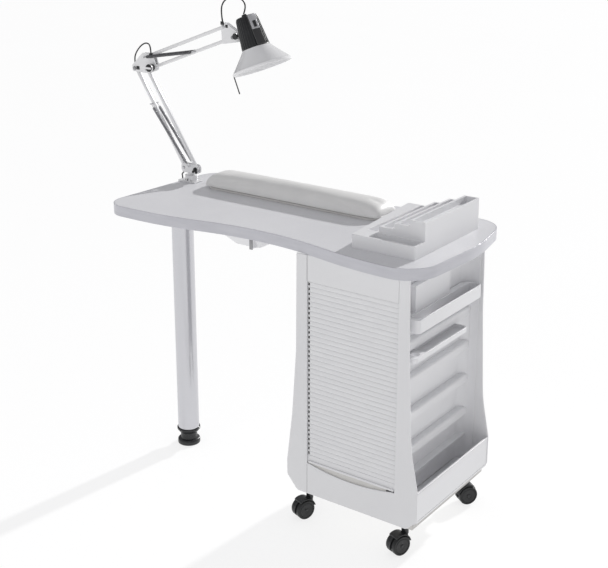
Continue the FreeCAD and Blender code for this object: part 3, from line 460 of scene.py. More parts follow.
def tube(name, path, radius, sides=12):
    """A mesh tube along points in metres. radius is in mm, or a function of the share of the way."""
    vertices, faces = [], []
    count = len(path)
    ahead = (path[1] - path[0]).normalized()
    side = ahead.orthogonal().normalized()
    for i, point in enumerate(path):
        following = (path[min(i + 1, count - 1)] - path[max(i - 1, 0)]).normalized()
        side = (side - following * side.dot(following)).normalized()
        other = following.cross(side)
        r = (radius(i / (count - 1)) if callable(radius) else radius) / 1000
        for k in range(sides):
            turn = 2 * math.pi * k / sides
            vertices.append(point + (side * math.cos(turn) + other * math.sin(turn)) * r)
    for i in range(count - 1):
        for k in range(sides):
            a, b = i * sides + k, i * sides + (k + 1) % sides
            faces.append((a, b, b + sides, a + sides))
    faces.append(tuple(reversed(range(sides))))
    faces.append(tuple(range((count - 1) * sides, count * sides)))
    return mesh_piece(name, vertices, faces)


# ---------------------------------------------------------------- cords
BASE_CABLE = [(-73.5, 100, 777), (-89, 103, 766), (-94, 112, 757), (-94, 112, 742.1)]
ELBOW_CABLE = [(-247, 100, 1056.5), (-250, 98, 1077), (-237, 96, 1100), (-213, 94, 1121), (-193, 93.5, 1127),
               (-181, 93.3, 1118), (-181, 93.3, 1097.1)]
HEAD_CABLE = [(79, 94, 1202.6), (73, 93, 1236), (87, 91, 1262), (118, 90, 1275), (148, 93, 1268),
              (156, 97, 1248), (144.9, 100, 1229.6)]
MAINS = [
    (-94, 112, 725.5), (-96, 116, 682), (-72, 148, 660), (-30, 161, 680), (6, 163, 709), (70, 167, 713),
    (148, 159, 711), (226, 167, 713), (304, 159, 711), (378, 165, 713), (446, 176, 712), (500, 197, 711),
    (546, 204, 706), (563, 203, 643), (556, 205, 570), (563, 203, 495), (556, 205, 420), (563, 203, 345),
    (556, 205, 270), (563, 203, 195), (557, 204, 120), (560, 204, 50), (598, 197, 3.2), (636, 184.5, 3.2),
]
COIL = (655, 212, 33)
PLUG_AT = (685.4, 191.4, 8)


def coil_points():
    """Two turns on the floor: the second climbs onto the first and widens before it leaves."""
    x, y, radius = COIL
    points = []
    for degrees in range(-75, 661, 15):
        if degrees < 165:
            r, z = radius, 3.1
        else:
            climb = min(1, (degrees - 165) / 70)
            widen = max(0, (degrees - 270) / 390)
            r = radius - 3.6 * climb + 7.2 * widen
            z = 3.1 + 6.4 * climb * climb * (3 - 2 * climb) - 1.0 * max(0, (degrees - 600) / 60)
        turn = math.radians(degrees)
        points.append((x + r * math.cos(turn), y + r * math.sin(turn), z))
    return points


def make_plug():
    """Two-pin moulded plug with a ribbed grip and a slim tail."""
    heading = math.radians(30)
    at = axes(mm(*PLUG_AT), (math.cos(heading), math.sin(heading), 0), (0, 0, 1))
    tail = lathe("PlugTail", [(3.1, 0), (4.2, 0), (4.6, 6), (5.0, 12), (6.5, 15), (0, 15)], at, 24)
    body = block("PlugBody", (-8, -13, 12), (8, 13, 44), at, 3.0, 4)
    ribs = [block(f"PlugRib{side}{k}", (-5, side * 13 - 0.5, 20 + 4 * k), (5, side * 13 + 0.5, 21.6 + 4 * k),
                  at, 0.4, 1) for side in (-1, 1) for k in range(5)]
    shell = [painted(piece, "cord_pvc") for piece in [tail, body] + ribs]
    pins = []
    for side in (-9.3, 9.3):
        pin = lathe(f"Pin{side:.0f}", [(0, 43), (2, 43), (2, 60.5), (1.4, 62), (0, 62)],
                    at @ Matrix.Translation(mm(0, side, 0)), 20)
        pins.append(painted(pin, "steel"))
    plug = joined("mains_plug", shell + pins)
    return settle(plug, SLOT_OF["plug"], "root", ["plug"])


def make_cords():
    plug = make_plug()
    route = MAINS + coil_points() + [PLUG_AT]
    cord = nurbs_curve("mains_lead", route)
    cord.data.bevel_depth = 0.003
    cord.data.bevel_resolution = 4
    cord.data.use_fill_caps = True
    cord.data.materials.append(LOOKS["cord_pvc"])
    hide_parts("mains_cord", "cord_coil")
    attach(cord, "root")
    start = [point for point in spline_points(route) if (point - mm(*MAINS[0])).length < 0.034]
    relief = tube("strain_relief", start, lambda share: 6.2 - 2.6 * share + 0.45 * math.sin(share * 44), 20)
    settle(relief, "cord_pvc", "root")
    for name, route, bodies, length in (
            ("base_cable", BASE_CABLE, ("yoke", "root"), 0.047),
            ("elbow_cable", ELBOW_CABLE, ("lower_arm", "elbow"), 0.133),
            ("head_cable", HEAD_CABLE, ("head_link", "lamp_head"), 0.167)):
        path = spline_points(route)
        loop = tube(name + "_loop", path, 2, 12)
        settle(loop, SLOT_OF[name], None, [name], "black_wire")
        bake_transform(loop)


# ---------------------------------------------------------------- top, leg and under-top tray
def make_top():
    top = frame["nodes"]["tabletop"]
    top.data.materials.clear()
    top.data.materials.append(LOOKS["laminate"])
    softened("edge_band", 0.7, 3, merged=False)


def make_leg():
    brushed_tube = [(28, 50), (29.6, 50), (30, 50.4), (30, 715.6), (29.6, 716), (28, 716)]
    settle(lathe("leg_tube_turned", brushed_tube, steps=128), "satin_chrome", BODY_OF["leg_tube"],
           ["leg_tube"])
    collar = [(6.2, 36), (26, 36), (27.4, 36.6), (29.6, 40), (32, 43.2), (33, 44.4), (33, 49.2), (32.2, 50),
              (30.2, 50), (30.2, 51.2), (28.2, 51.2)]
    settle(lathe("leg_collar_turned", collar, steps=96), "black_plastic", BODY_OF["leg_collar"],
           ["leg_collar"])
    foot = [(0, 0), (30, 0), (31.6, 1.2), (32, 3), (32, 10), (31.2, 13.2), (28.8, 15.4), (25.4, 16),
            (24, 16.8), (23.4, 19), (23.4, 30), (24, 34.6), (24, 36), (6, 36), (6, 67), (0, 67)]
    settle(lathe("levelling_foot_turned", foot, steps=96), "black_plastic", BODY_OF["levelling_foot"],
           ["levelling_foot"])
    softened("leg_flange", 0.8)
    softened("under_tray", 0.4)
    softened("tray_runners", 0.5)
    pull = block("tray_strip", (328.6, -121.4, 681), (338.4, -119.2, 708), None, 0.8)
    settle(pull, "clip_plastic", "dish", look="grey_knob")
    dot = lathe("tray_catch", [(0, 0), (2.2, 0), (2.2, 1.4), (1.6, 2), (0, 2)],
                axes(mm(222, -119.2, 706), (0, -1, 0)), 20)
    settle(dot, "clip_plastic", "dish", look="grey_knob")


# ---------------------------------------------------------------- cushion
def pad_section(share, across):
    """Half width and height in mm of the wrist cushion at a share of its length, across from -1 to 1."""
    ends = max(0, min(1, share / 0.075, (1 - share) / 0.085))
    dome = math.sqrt(max(0, 1 - (1 - ends) ** 2))
    half = 40 + 12.5 * dome
    height = 5 + 28 * dome ** 1.15
    side = abs(across)
    crown = height * (1 - side ** 3.4) ** (1 / 2.2) if side < 1 else 0
    return half, crown


def make_cushion():
    """Loft of crowned sections, swollen as cloth, then seamed along its base."""
    low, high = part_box("wrist_cushion")
    board_top = low.z
    middle = (low.y + high.y) / 2
    start, length = low.x + 0.004, high.x - low.x - 0.008
    rows, columns = 116, 27
    vertices, faces = [], []
    for i in range(rows + 1):
        share = i / rows
        pulled = 0.5 - 0.5 * math.cos(math.pi * share)
        share = 0.7 * share + 0.3 * pulled
        for j in range(columns):
            across = -1 + 2 * j / (columns - 1)
            spread = math.copysign(abs(across) ** 0.8, across)
            half, crown = pad_section(share, spread)
            vertices.append(Vector((start + share * length, middle + spread * half / 1000,
                                    board_top + 0.002 + crown / 1000)))
    for i in range(rows):
        for j in range(columns - 1):
            a = i * columns + j
            faces.append((a, a + columns, a + columns + 1, a + 1))
    pad = mesh_piece("wrist_pad", vertices, faces)
    work = bmesh.new()
    work.from_mesh(pad.data)
    rim = [edge for edge in work.edges if edge.is_boundary]
    skirt = bmesh.ops.extrude_edge_only(work, edges=rim)["geom"]
    under = [item for item in skirt if isinstance(item, bmesh.types.BMVert)]
    for vertex in under:
        vertex.co.z = board_top
    bmesh.ops.contextual_create(work, geom=[e for e in work.edges if e.is_boundary])
    bmesh.ops.remove_doubles(work, verts=work.verts, dist=1e-5)
    bmesh.ops.recalc_face_normals(work, faces=work.faces)
    bmesh.ops.triangulate(work, faces=work.faces)
    work.to_mesh(pad.data)
    work.free()
    remesh = pad.modifiers.new("Voxels", "REMESH")
    remesh.mode = "VOXEL"
    remesh.voxel_size = 0.005
    baked(pad)
    smooth = pad.modifiers.new("Relax", "SMOOTH")
    smooth.iterations = 3
    smooth.factor = 0.5
    baked(pad)
    swell(pad, 0.006, board_top)
    for vertex in pad.data.vertices:
        vertex.co.z = max(vertex.co.z, board_top)
    divide = pad.modifiers.new("Finer", "SUBSURF")
    divide.levels = divide.render_levels = 1
    baked(pad)
    settle(pad, "vinyl", "root", ["wrist_cushion"], angle=180)
    make_welt(pad, board_top)


def swell(piece, cap, floor):
    """Cloth with pressure for 20 frames, no point moving further than the cap."""
    rest = [vertex.co.copy() for vertex in piece.data.vertices]
    held = piece.vertex_groups.new(name="held")
    held.add([v.index for v in piece.data.vertices if v.co.z < floor + 0.003], 1.0, "REPLACE")
    cloth = piece.modifiers.new("Cloth", "CLOTH")
    settings = cloth.settings
    settings.quality = 6
    settings.mass = 0.3
    settings.tension_stiffness = settings.compression_stiffness = 18
    settings.shear_stiffness = 8
    settings.bending_stiffness = 0.4
    settings.vertex_group_mass = "held"
    settings.use_pressure = True
    settings.uniform_pressure_force = 4
    settings.effector_weights.gravity = 0
    cloth.point_cache.frame_start, cloth.point_cache.frame_end = 1, 20
    for step in range(1, 21):
        SCENE.frame_set(step)
    graph = bpy.context.evaluated_depsgraph_get()
    moved = [vertex.co.copy() for vertex in piece.evaluated_get(graph).data.vertices]
    piece.modifiers.remove(cloth)
    SCENE.frame_set(1)
    for vertex, before, after in zip(piece.data.vertices, rest, moved):
        shift = after - before
        if shift.length > cap:
            shift *= cap / shift.length
        vertex.co = before + shift


def make_welt(pad, floor):
    """The sewn welt where the vinyl is turned under the board."""
    ring = {}
    middle = sum((v.co for v in pad.data.vertices), Vector()) / len(pad.data.vertices)
    for vertex in pad.data.vertices:
        if floor + 0.001 < vertex.co.z < floor + 0.007:
            across = vertex.co - middle
            key = round(math.atan2(across.y * 5, across.x) / (2 * math.pi) * 220)
            reach = across.x ** 2 + (across.y * 5) ** 2
            if key not in ring or reach > ring[key][0]:
                ring[key] = (reach, vertex.co)
    points = [Vector((ring[key][1].x, ring[key][1].y, floor + 0.0030)) for key in sorted(ring)]
    for _ in range(4):
        after = points[1:] + points[:1]
        points = [(points[i - 1] + points[i] * 2 + after[i]) / 4 for i in range(len(points))]
    points.append(points[0])
    welt = tube("pad_welt", points, 1.3, 8)
    settle(welt, "vinyl", "root")


# ---------------------------------------------------------------- rack and cabinet
def strip(name, points, half, body, slot, look):
    """A thin line on a face, from points in mm to a width across them, facing -Y."""
    vertices, faces = [], []
    for x, y, z in points:
        for side in (-half, half):
            vertices.append(mm(x + side, y, z))
    for i in range(len(points) - 1):
        faces.append((2 * i, 2 * i + 2, 2 * i + 3, 2 * i + 1))
    return settle(mesh_piece(name, vertices, faces), slot, body, look=look)


def make_curtain():
    """The shutter's slats: flat faces, rounded valleys and a notch at each slat's left end, the notch filled with
    near-black painted shade.
    """
    count, bottom, top = 41, 198.0, 704.0
    columns = [528, 543.2, 547.4, 795.5, 810]
    face_y, notch_y, back_y = -167.4, -167.4 + 3.6, -162.6
    levels = []
    pitch = (top - bottom) / count
    section = [(0.00, 1.3), (0.05, 0.75), (0.12, 0.25), (0.22, 0.03), (0.40, 0), (0.60, 0), (0.78, 0.03),
               (0.88, 0.25), (0.95, 0.75)]
    for i in range(count):
        levels += [(bottom + (i + share) * pitch, depth, 0.22 <= share < 0.78) for share, depth in section]
    levels.append((top, 1.3, False))
    vertices, faces, dark = [], [], []
    for z, depth, _ in levels:
        for x in columns:
            vertices.append(mm(x, face_y + depth, z))
    wide = len(columns)
    for i in range(len(levels) - 1):
        for j in range(wide - 1):
            if j == 1 and levels[i][2]:
                continue
            a = i * wide + j
            faces.append((a, a + 1, a + 1 + wide, a + wide))
    for i in range(len(levels) - 1):
        if not levels[i][2]:
            continue
        z0, z1 = levels[i][0], levels[i + 1][0]
        base = len(vertices)
        vertices += [mm(x, notch_y, z) for z in (z0, z1) for x in columns[1:3]]
        dark.append(len(faces))
        faces.append((base, base + 1, base + 3, base + 2))
        a = i * wide + 1
        faces.append((a, base, base + 2, a + wide))
        faces.append((a + 1, a + 1 + wide, base + 3, base + 1))
    base = len(vertices)
    vertices += [mm(x, back_y, z) for z in (bottom, top) for x in (columns[0], columns[-1])]
    faces.append((base, base + 2, base + 3, base + 1))
    curtain = mesh_piece("shutter_curtain", vertices, faces)
    curtain.data.materials.append(LOOKS["slat_plastic"])
    # The notch faces at the slats' left ends get the near-black painted shade.
    curtain.data.materials.append(LOOKS["gap"])
    for index in dark:
        for shift in range(3):
            curtain.data.polygons[index + shift].material_index = 1
    settle(curtain, "slat_plastic", "root", ["shutter_slats"], angle=50)
    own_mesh(curtain)


def make_cabinet():
    for name, width, segments in (
            ("near_side", 1.3, 3), ("far_side", 1.3, 3), ("left_wall", 0.6, 2), ("fascia", 1.0, 3),
            ("shutter_rail", 1.2, 3), ("display_wall", 0.4, 2), ("bin", 0.9, 3), ("upper_tray", 0.5, 2),
            ("lower_tray", 0.5, 2), ("polish_rack", 0.35, 2), ("base_panel", 0.8, 2),
            ("cabinet_head", 0.8, 2), ("inner_shelf", 1.0, 2), ("shutter_guides", 0.4, 2),
            ("caster_sockets", 0.8, 2), ("cushion_board", 1.0, 2)):
        softened(name, width, segments, merged=name != "polish_rack")
    make_curtain()
    line_y = -172.06
    strip("stile_joint", [(542.6, line_y, 96), (542.6, line_y, 174)], 0.45, "root", "cabinet_plastic",
          "joint_line")
    strip("stile_joint_upper", [(542.0, line_y, 657), (542.0, line_y, 721)], 0.25, "root", "cabinet_plastic",
          "joint_line")
    bin_line = [mm(858.06, y, z) for y, z in ((-166, 118.6), (182, 118.6), (182, 119.4), (-166, 119.4))]
    settle(mesh_piece("bin_joint", bin_line, [(0, 1, 2, 3)]), "cabinet_plastic", "root", look="joint_line")
    lip = block("bin_lip", (853.4, -167.4, 190.6), (859.0, 183.4, 194.0), None, 1.2, 3)
    settle(lip, "cabinet_plastic", "root")
    roller = [(0, -9), (4, -9), (4, 0), (20.4, 0), (22, 1.4), (22, 244.6), (20.4, 246), (4, 246), (4, 252),
              (0, 252)]
    barrel = lathe("shutter_roller_turned", roller, axes(mm(534, -138, 690), (1, 0, 0)), 48)
    settle(barrel, "roller_steel", "roller", ["shutter_roller"])


# ---------------------------------------------------------------- casters
def make_casters():
    tyre = [(5, 1.2), (7, 0.6), (17.6, 0.6), (18.8, 1.6), (20.2, 1.6), (21.4, 0.2), (23, 0.0), (24.4, 0.7),
            (25, 2.2), (25, 11.8), (24.2, 13.3), (22.6, 14), (5, 14)]
    cap = [(0, -0.9), (3.6, -0.9), (4.6, 0.2), (5.6, 1.3)]
    for name in ("near_left", "near_right", "far_right", "far_left"):
        roll = JOINT[f"roll_{name}"]
        centre, axis = Vector(roll["pos_m"]), Vector(roll["axis"]).normalized()
        wheels = []
        for side in (-1, 1):
            at = axes(centre + axis * side * 0.017, -axis * side, (0, 0, 1))
            wheels.append(painted(lathe(f"Tyre{side}{name}", tyre, at, 64), "caster_tread"))
            wheels.append(painted(lathe(f"Cap{side}{name}", cap, at, 32), "black_plastic"))
        axle = lathe(f"Axle{name}", [(0, -3), (4, -3), (4, 3), (0, 3)], axes(centre, axis, (0, 0, 1)), 24)
        wheels.append(painted(axle, "black_plastic"))
        pair = joined(f"caster_wheels_{name}", wheels)
        settle(pair, "caster_tread", f"wheel_{name}", [f"wheels_{name}"])
        softened(f"caster_{name}", 1.0, 3)


# ---------------------------------------------------------------- lamp
BASE_A, BASE_B, ANCHOR = mm(-71.5, 100, 789), mm(-28.5, 100, 789), mm(-50, 100, 795)
ELBOW_A, ELBOW_B = mm(-243.5, 100, 1051), mm(-200.5, 100, 1051)
ELBOW_U, ELBOW_L = mm(-204.5, 100, 1086), mm(-174.5, 100, 1060)
HEAD_U, HEAD_L, TILT = mm(81.5, 100, 1192), mm(111.5, 100, 1166), mm(126.5, 100, 1171)
HEAD_TILT = math.radians(22.6)
HEAD = Matrix.Translation(mm(152, 100, 1223)) @ Matrix.Rotation(-HEAD_TILT, 4, "Y")
SPINE_LEAN = math.atan2(9, 84)
SPINE = (HEAD @ Matrix.Rotation(math.radians(-25), 4, "Z") @ Matrix.Translation(mm(28, 0, 0))
         @ Matrix.Rotation(-SPINE_LEAN, 4, "Y"))


def make_spring(name, start, end, node_name, look):
    """Two coil springs side by side with straight hooks, between two points."""
    coils = []
    along = (end - start).normalized()
    length = (end - start).length
    hook, apart, pitch, coil_radius, sides = 0.012, 0.012, 0.0021, 0.0038, 12
    for side in (-apart, apart):
        offset = Vector((0, side, 0))
        steps = int((length - 2 * hook) / pitch) * sides
        cross = along.cross(Vector((0, 1, 0))).normalized()
        path = [start + offset + along * 0.001, start + offset + along * (hook - 0.003)]
        for k in range(steps + 1):
            turn = 2 * math.pi * k / sides
            share = k / steps
            radius = coil_radius * min(1, 0.25 + k / 10, 0.25 + (steps - k) / 10)
            centre = start + offset + along * (hook + share * (length - 2 * hook))
            path.append(centre + (cross * math.cos(turn) + Vector((0, 1, 0)) * math.sin(turn)) * radius)
        path += [end + offset - along * (hook - 0.003), end + offset - along * 0.001]
        coils.append(painted(tube(f"Coil{side}{name}", path, 0.75, 6), look))
    springs = joined(name, coils)
    settle(springs, SLOT_OF[node_name], None, [node_name], angle=80)
    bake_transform(springs)


def stud(name, centre, body, radius=4.2, high=2.6, look="steel", slot="steel", facing=-1):
    """A domed pivot head, sizes in mm, on the near or far cheek of the lamp's joints."""
    level = 93.0 if facing < 0 else 107.0
    profile = [(0, 0), (radius, 0), (radius, high * 0.45), (radius * 0.8, high * 0.8), (radius * 0.45, high),
               (0, high)]
    at = axes(Vector((centre.x, level / 1000, centre.z)), (0, facing, 0))
    return settle(lathe(name, profile, at, 28), slot, body, look=look)


def make_lamp_base():
    softened("lamp_clamp", 1.2, 3)
    softened("clamp_screw", 0.8, 2)
    softened("lamp_yoke", 0.7, 2)
    ribs = [(8.6, 0), (9.6, 0.4), (9.6, 3.2), (8.6, 3.6)]
    for k in range(3):
        ring = lathe(f"gland_ring_{k}", ribs, axes(mm(-94, 112, 727.5 + 4.6 * k), UP), 32)
        settle(ring, "black_plastic", "root")
    cup = [(0, 20.2), (8, 20.2), (16.2, 20.0), (17.6, 18.8), (18.2, 17), (18.2, 6), (19.2, 4.6), (19.2, 4.0),
           (0, 4.0)]
    cover = lathe("clamp_cup", cup, Matrix.Translation(mm(-50, 100, 750.2)), 64)
    settle(cover, SLOT_OF["lamp_clamp"], "root")
    stud("yoke_stud_a", BASE_A, "yoke")
    stud("yoke_stud_a_far", BASE_A, "yoke", facing=1)
    stud("yoke_stud_b_far", BASE_B, "yoke", facing=1)
    hub = painted(lathe("WingHub", [(0, 0), (5.4, 0), (5.4, 3), (4.2, 6.4), (3, 7), (0, 7)],
                        axes(mm(-28.5, 93, 789), (0, -1, 0)), 28), "black_plastic")
    wings = []
    for side in (-1, 1):
        turn = Matrix.Translation(mm(-28.5, 89, 789)) @ Matrix.Rotation(math.radians(90 - 38 * side), 4, "Y")
        wings.append(painted(block(f"Wing{side}", (3.2, -2.2, -3.4), (12.4, 0.6, 3.4), turn, 1.1, 3),
                             "black_plastic"))
    settle(joined("yoke_wing_nut", [hub] + wings), "black_plastic", "yoke")


def make_bar(node_name, start, end, peg=None):
    """A square tube with rounded edges between two pivots, with the spring peg across it."""
    length = (end - start).length * 1000
    at = axes(start, end - start, (0, 1, 0))
    parts = [block(node_name + "_tube", (-4.5, -4.5, -4.4), (4.5, 4.5, length + 4.4), at, 1.5, 3)]
    if peg:
        pin = lathe(node_name + "_peg", [(0, -17), (1.2, -17), (1.8, -16.4), (1.8, 16.4), (1.2, 17), (0, 17)],
                    axes(peg, (0, 1, 0)), 20)
        parts.append(painted(pin, "steel"))
    painted(parts[0], "lamp_paint")
    settle(joined(node_name + "_bar", parts), SLOT_OF[node_name], BODY_OF[node_name], [node_name])


def make_lamp_arms():
    low_peg = BASE_A.lerp(ELBOW_A, 0.64)
    high_peg = ELBOW_L.lerp(HEAD_L, 0.54)
    make_bar("lower_bar_outer", BASE_A, ELBOW_A, low_peg)
    make_bar("lower_bar_inner", BASE_B, ELBOW_B)
    make_bar("upper_bar_top", ELBOW_U, HEAD_U)
    make_bar("upper_bar_low", ELBOW_L, HEAD_L, high_peg)
    for name in ("elbow_bracket", "head_bracket"):
        softened(name, 0.7, 2)
    make_spring("lower_spring_pair", ANCHOR, low_peg, "lower_springs", "spring_wire")
    make_spring("upper_spring_pair", ELBOW_U, high_peg, "upper_springs",
                "dark_spring")
    stud("elbow_stud_a", ELBOW_A, "elbow", 5.6, 5.0, look="grey_knob", slot="black_plastic")
    for k, (point, body) in enumerate(((ELBOW_B, "elbow"), (HEAD_U, "head_link"))):
        stud(f"pivot_stud_{k}", point, body)
    stud("head_stud_low", HEAD_L, "head_link", 4.6, 3.2, look="grey_knob", slot="black_plastic")
    for k, (point, body) in enumerate(((ELBOW_A, "elbow"), (ELBOW_B, "elbow"), (ELBOW_L, "elbow"),
                                       (HEAD_U, "head_link"), (HEAD_L, "head_link"), (TILT, "head_link"))):
        stud(f"far_stud_{k}", point, body, facing=1)
    knob = [(0, 0), (6.4, 0), (6.4, 5.2), (10, 5.2), (10.6, 6), (10.6, 11.6)]
    band = [(10.6, 11.6), (10.9, 12.2), (10.9, 15.8), (10.6, 16.4)]
    crown = [(10.6, 16.4), (10.6, 18.6), (9.4, 19.8), (3.4, 20.2), (0, 20.2)]
    at = axes(Vector((ELBOW_L.x, 0.0927, ELBOW_L.z)), (0, -1, 0))

    def knurl(turn, radius, height):
        return 0.35 * math.cos(24 * turn) if radius > 9.8 else 0

    grip = joined("elbow_knob_turned", [
        painted(lathe("KnobLow", knob, at, 96, knurl), "black_plastic"),
        painted(lathe("KnobBand", band, at, 96), "lamp_paint"),
        painted(lathe("KnobCrown", crown, at, 96, knurl), "black_plastic")])
    settle(grip, SLOT_OF["elbow_knob"], "elbow_knob", ["elbow_knob"], angle=40)
    knob_x, reach = ELBOW_L.x * 1000, 10.2
    ridge = block("knob_ridge", (knob_x - reach, 71.6, 1057.2), (knob_x + reach, 74, 1062.8), None, 1.0, 3)
    settle(ridge, "black_plastic", "elbow_knob", look="lamp_paint")
    tilt = lathe("tilt_knob", [(0, 0), (4, 0), (4, 3), (7.4, 3), (8, 3.8), (8, 9), (7, 10), (0, 10.2)],
                 axes(Vector((TILT.x, 0.0930, TILT.z)), (0, -1, 0)), 72,
                 lambda turn, radius, height: 0.3 * math.cos(18 * turn) if radius > 7 else 0)
    settle(tilt, "black_plastic", "head_link", angle=40)
    clips = [
        ("elbow_clip_low", (-237, 91.6, 1048), (-226, 93.6, 1058), "elbow"),
        ("elbow_clip_high", (-186, 90.2, 1089), (-175, 96.4, 1098), "elbow"),
        ("head_clip_left", (73.5, 90.2, 1197), (84.5, 92.9, 1206), "head_link"),
        ("head_clip_right", (88.5, 91.6, 1190), (96.5, 93.6, 1198), "head_link"),
    ]
    for name, low, high, body in clips:
        settle(block(name, low, high, None, 1.2, 3), "black_plastic", body)


def make_lamp_head():
    housing = [(0, 0), (22, 0), (26.4, -0.8), (28, -3), (28.2, -6)]
    housing += [(28 + 9 * share / 84, -share) for share in range(8, 80, 6)]
    housing += [(36.8, -80), (37.4, -81), (37.4, -84), (34, -84), (25, -6), (0, -6)]

    def fins(turn, radius, height):
        if radius < 27.9 or height > -5 or height < -80:
            return 0
        return 1.1 * max(-0.7, min(0.7, 1.6 * math.cos(30 * turn)))

    shell = painted(lathe("HousingShell", housing, HEAD, 360, fins), "black_plastic")
    holder = [(0, -5), (17, -5), (17, -43), (15.4, -44), (0, -44)]
    socket = painted(lathe("BulbHolder", holder, HEAD, 48), "lamp_paint")
    lug = painted(block("TiltLug", (121.5, 95.5, 1166), (132, 104.5, 1176), None, 1.0, 2), "black_plastic")
    arm = painted(block("TiltArm", (126, 96.5, 1167), (146, 103.5, 1175), None, 1.0, 2), "black_plastic")
    gland = [(7.4, -2), (7.4, 1), (6.8, 1.6), (6.8, 4.8), (6.0, 6.6), (3.4, 7), (2.2, 7), (2.2, -2)]

    def ribbed(turn, radius, height):
        return 0.5 * math.cos(6 * turn) if radius > 6.5 else 0

    nut = painted(lathe("HeadGland", gland, HEAD @ Matrix.Translation(mm(-4, 0, 0)), 72, ribbed),
                  "black_plastic")
    spine = painted(block("Spine", (-4, -12, -83), (4.0, 12, -0.5), SPINE, 2.4, 4), "gloss_black")
    head = joined("housing_ribbed", [shell, socket, lug, arm, nut, spine])
    settle(head, SLOT_OF["lamp_housing"], "lamp_head", ["lamp_housing"], angle=40)
    plate = block("switch_plate", (3.2, -10.8, -41.0), (4.8, 10.8, -1.6), SPINE, 0.7, 3)
    settle(plate, "steel", "lamp_head", look="silver")
    rocker = block("rocker_turned", (2.6, -4, -37), (8.1, 4, -20), SPINE, 0.9, 3)
    for vertex in rocker.data.vertices:
        local = SPINE.inverted() @ vertex.co
        local.x += max(0, local.x - 0.004) * (local.z + 0.0285) * 30
        vertex.co = SPINE @ local
    settle(rocker, SLOT_OF["rocker_switch"], "rocker", ["rocker_switch"])
    outer = [(34, -84.3), (38, -84.3), (38.6, -85.4)]
    outer += [(38.6 + 40.2 * share ** 1.04, -85.4 - 46.4 * share)
              for share in (0.15, 0.3, 0.45, 0.6, 0.75, 0.9)]
    outer += [(78.6, -131.6), (80.3, -132.6), (80.5, -134.4), (80.5, -137.4), (79.8, -138.8), (78.6, -139),
              (77.4, -138.2), (76.6, -134.4), (75.4, -132.6)]
    outer += [(75.4 - 41 * share, -132.6 + 45 * share) for share in (0.2, 0.4, 0.6, 0.8, 1.0)]
    shade = lathe("shade_spun", outer, HEAD, 128)
    settle(shade, SLOT_OF["lamp_shade"], "lamp_head", ["lamp_shade"], angle=50)
    glass = [(0, -44.2), (13, -44.2), (13, -46), (13.6, -58), (15, -69), (19.4, -78), (25, -86), (29, -95),
             (30, -103), (28.6, -110), (24.6, -117), (17, -122.4), (8, -124.6), (0, -125)]
    settle(lathe("bulb_blown", glass, HEAD, 64), SLOT_OF["bulb"], "lamp_head", ["bulb"], angle=80)
    softened("aim_rod", 0.5)


# ---------------------------------------------------------------- stage
def make_world():
    """Grey surroundings for light and reflections, white paper where the camera looks past the floor."""
    world = bpy.data.worlds.new("Studio")
    SCENE.world = world
    world.use_nodes = True
    tree = world.node_tree
    tree.nodes.clear()
    output = node(tree, "ShaderNodeOutputWorld")
    place = node(tree, "ShaderNodeTexCoord")
    split = node(tree, "ShaderNodeSeparateXYZ")
    tree.links.new(place.outputs["Generated"], split.inputs["Vector"])
    rise = span(tree, split.outputs["Z"], 0, 1, -0.2, 0.9)
    colour = tint(tree, rise, (0.66, 0.66, 0.67), (0.46, 0.46, 0.475))
    for x, y, inner, outer in DARK_PATCHES:
        toward = node(tree, "ShaderNodeVectorMath", operation="DOT_PRODUCT")
        toward.inputs[1].default_value = (x, y, 0)
        tree.links.new(place.outputs["Generated"], toward.inputs[0])
        dark = span(tree, toward.outputs["Value"], 0, 1, outer, inner)
        blend = node(tree, "ShaderNodeMix", data_type="RGBA")
        blend.inputs["B"].default_value = (0.16, 0.16, 0.17, 1)
        tree.links.new(dark, blend.inputs["Factor"])
        tree.links.new(colour, blend.inputs["A"])
        colour = blend.outputs["Result"]
    studio = node(tree, "ShaderNodeBackground", Strength=0.85)
    tree.links.new(colour, studio.inputs["Color"])
    paper = node(tree, "ShaderNodeBackground", Strength=1.0)
    paper.inputs["Color"].default_value = (0.99, 0.99, 0.99, 1)
    rays = node(tree, "ShaderNodeLightPath")
    mix = node(tree, "ShaderNodeMixShader")
    tree.links.new(rays.outputs["Is Camera Ray"], mix.inputs["Fac"])
    tree.links.new(studio.outputs["Background"], mix.inputs[1])
    tree.links.new(paper.outputs["Background"], mix.inputs[2])
    tree.links.new(mix.outputs["Shader"], output.inputs["Surface"])


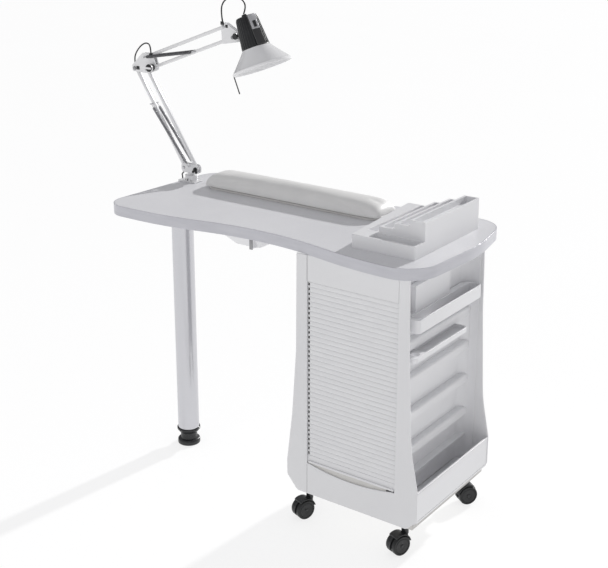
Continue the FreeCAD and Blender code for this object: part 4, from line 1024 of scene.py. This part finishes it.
def make_lights():
    sun = bpy.data.lights.new("Key", "SUN")
    sun.energy = SUN_STRENGTH
    sun.angle = math.radians(SUN_DEGREES)
    sun.color = (1.0, 0.995, 0.985)
    key = link(bpy.data.objects.new("Key", sun))
    travel = Vector((-0.11, -math.cos(SUN_HEIGHT), -math.sin(SUN_HEIGHT)))
    key.rotation_euler = travel.to_track_quat("-Z", "Y").to_euler()
    for name, place, size, power in FILLS:
        lamp = bpy.data.lights.new(name, "AREA")
        lamp.size = size
        lamp.energy = power
        fill = link(bpy.data.objects.new(name, lamp))
        fill.location = place
        fill.visible_glossy = False
        fill.rotation_euler = (mm(400, 0, 600) - fill.location).to_track_quat("-Z", "Y").to_euler()


def make_floor():
    """A wide pale floor that glows a little, so that it is as white as the photograph's ground."""
    material, tree, shader = new_material("PaleFloor")
    shader.inputs["Roughness"].default_value = 0.7
    tree.links.new(tint(tree, span(tree, noise(tree, 0.7), 0, 1), (0.90, 0.90, 0.90), (0.92, 0.92, 0.92)),
                   shader.inputs["Base Color"])
    glow = node(tree, "ShaderNodeEmission", Strength=1.08)
    glow.inputs["Color"].default_value = (1, 1, 1, 1)
    mix = node(tree, "ShaderNodeMixShader", Fac=0.72)
    output = tree.nodes["Material Output"]
    tree.links.new(shader.outputs["BSDF"], mix.inputs[1])
    tree.links.new(glow.outputs["Emission"], mix.inputs[2])
    tree.links.new(mix.outputs["Shader"], output.inputs["Surface"])
    signs = ((-1, -1), (1, -1), (1, 1), (-1, 1))
    corners = [Vector((x * FLOOR_HALF, y * FLOOR_HALF, FLOOR_LEVEL)) for x, y in signs]
    floor = mesh_piece("studio_floor", corners, [(0, 1, 2, 3)])
    floor.data.materials.append(material)


def paint_nodes():
    """Gives every CAD node that still shows its slot's material."""
    for name, item in frame["nodes"].items():
        if not item.hide_render and name != "tabletop":
            item.data.materials.clear()
            item.data.materials.append(LOOKS[SLOT_OF[name]])


make_camera()
make_cords()
make_world()
make_lights()
make_floor()
make_top()
make_leg()
make_cushion()
make_cabinet()
make_casters()
make_lamp_base()
make_lamp_arms()
make_lamp_head()
paint_nodes()
SCENE.view_settings.view_transform = "Standard"
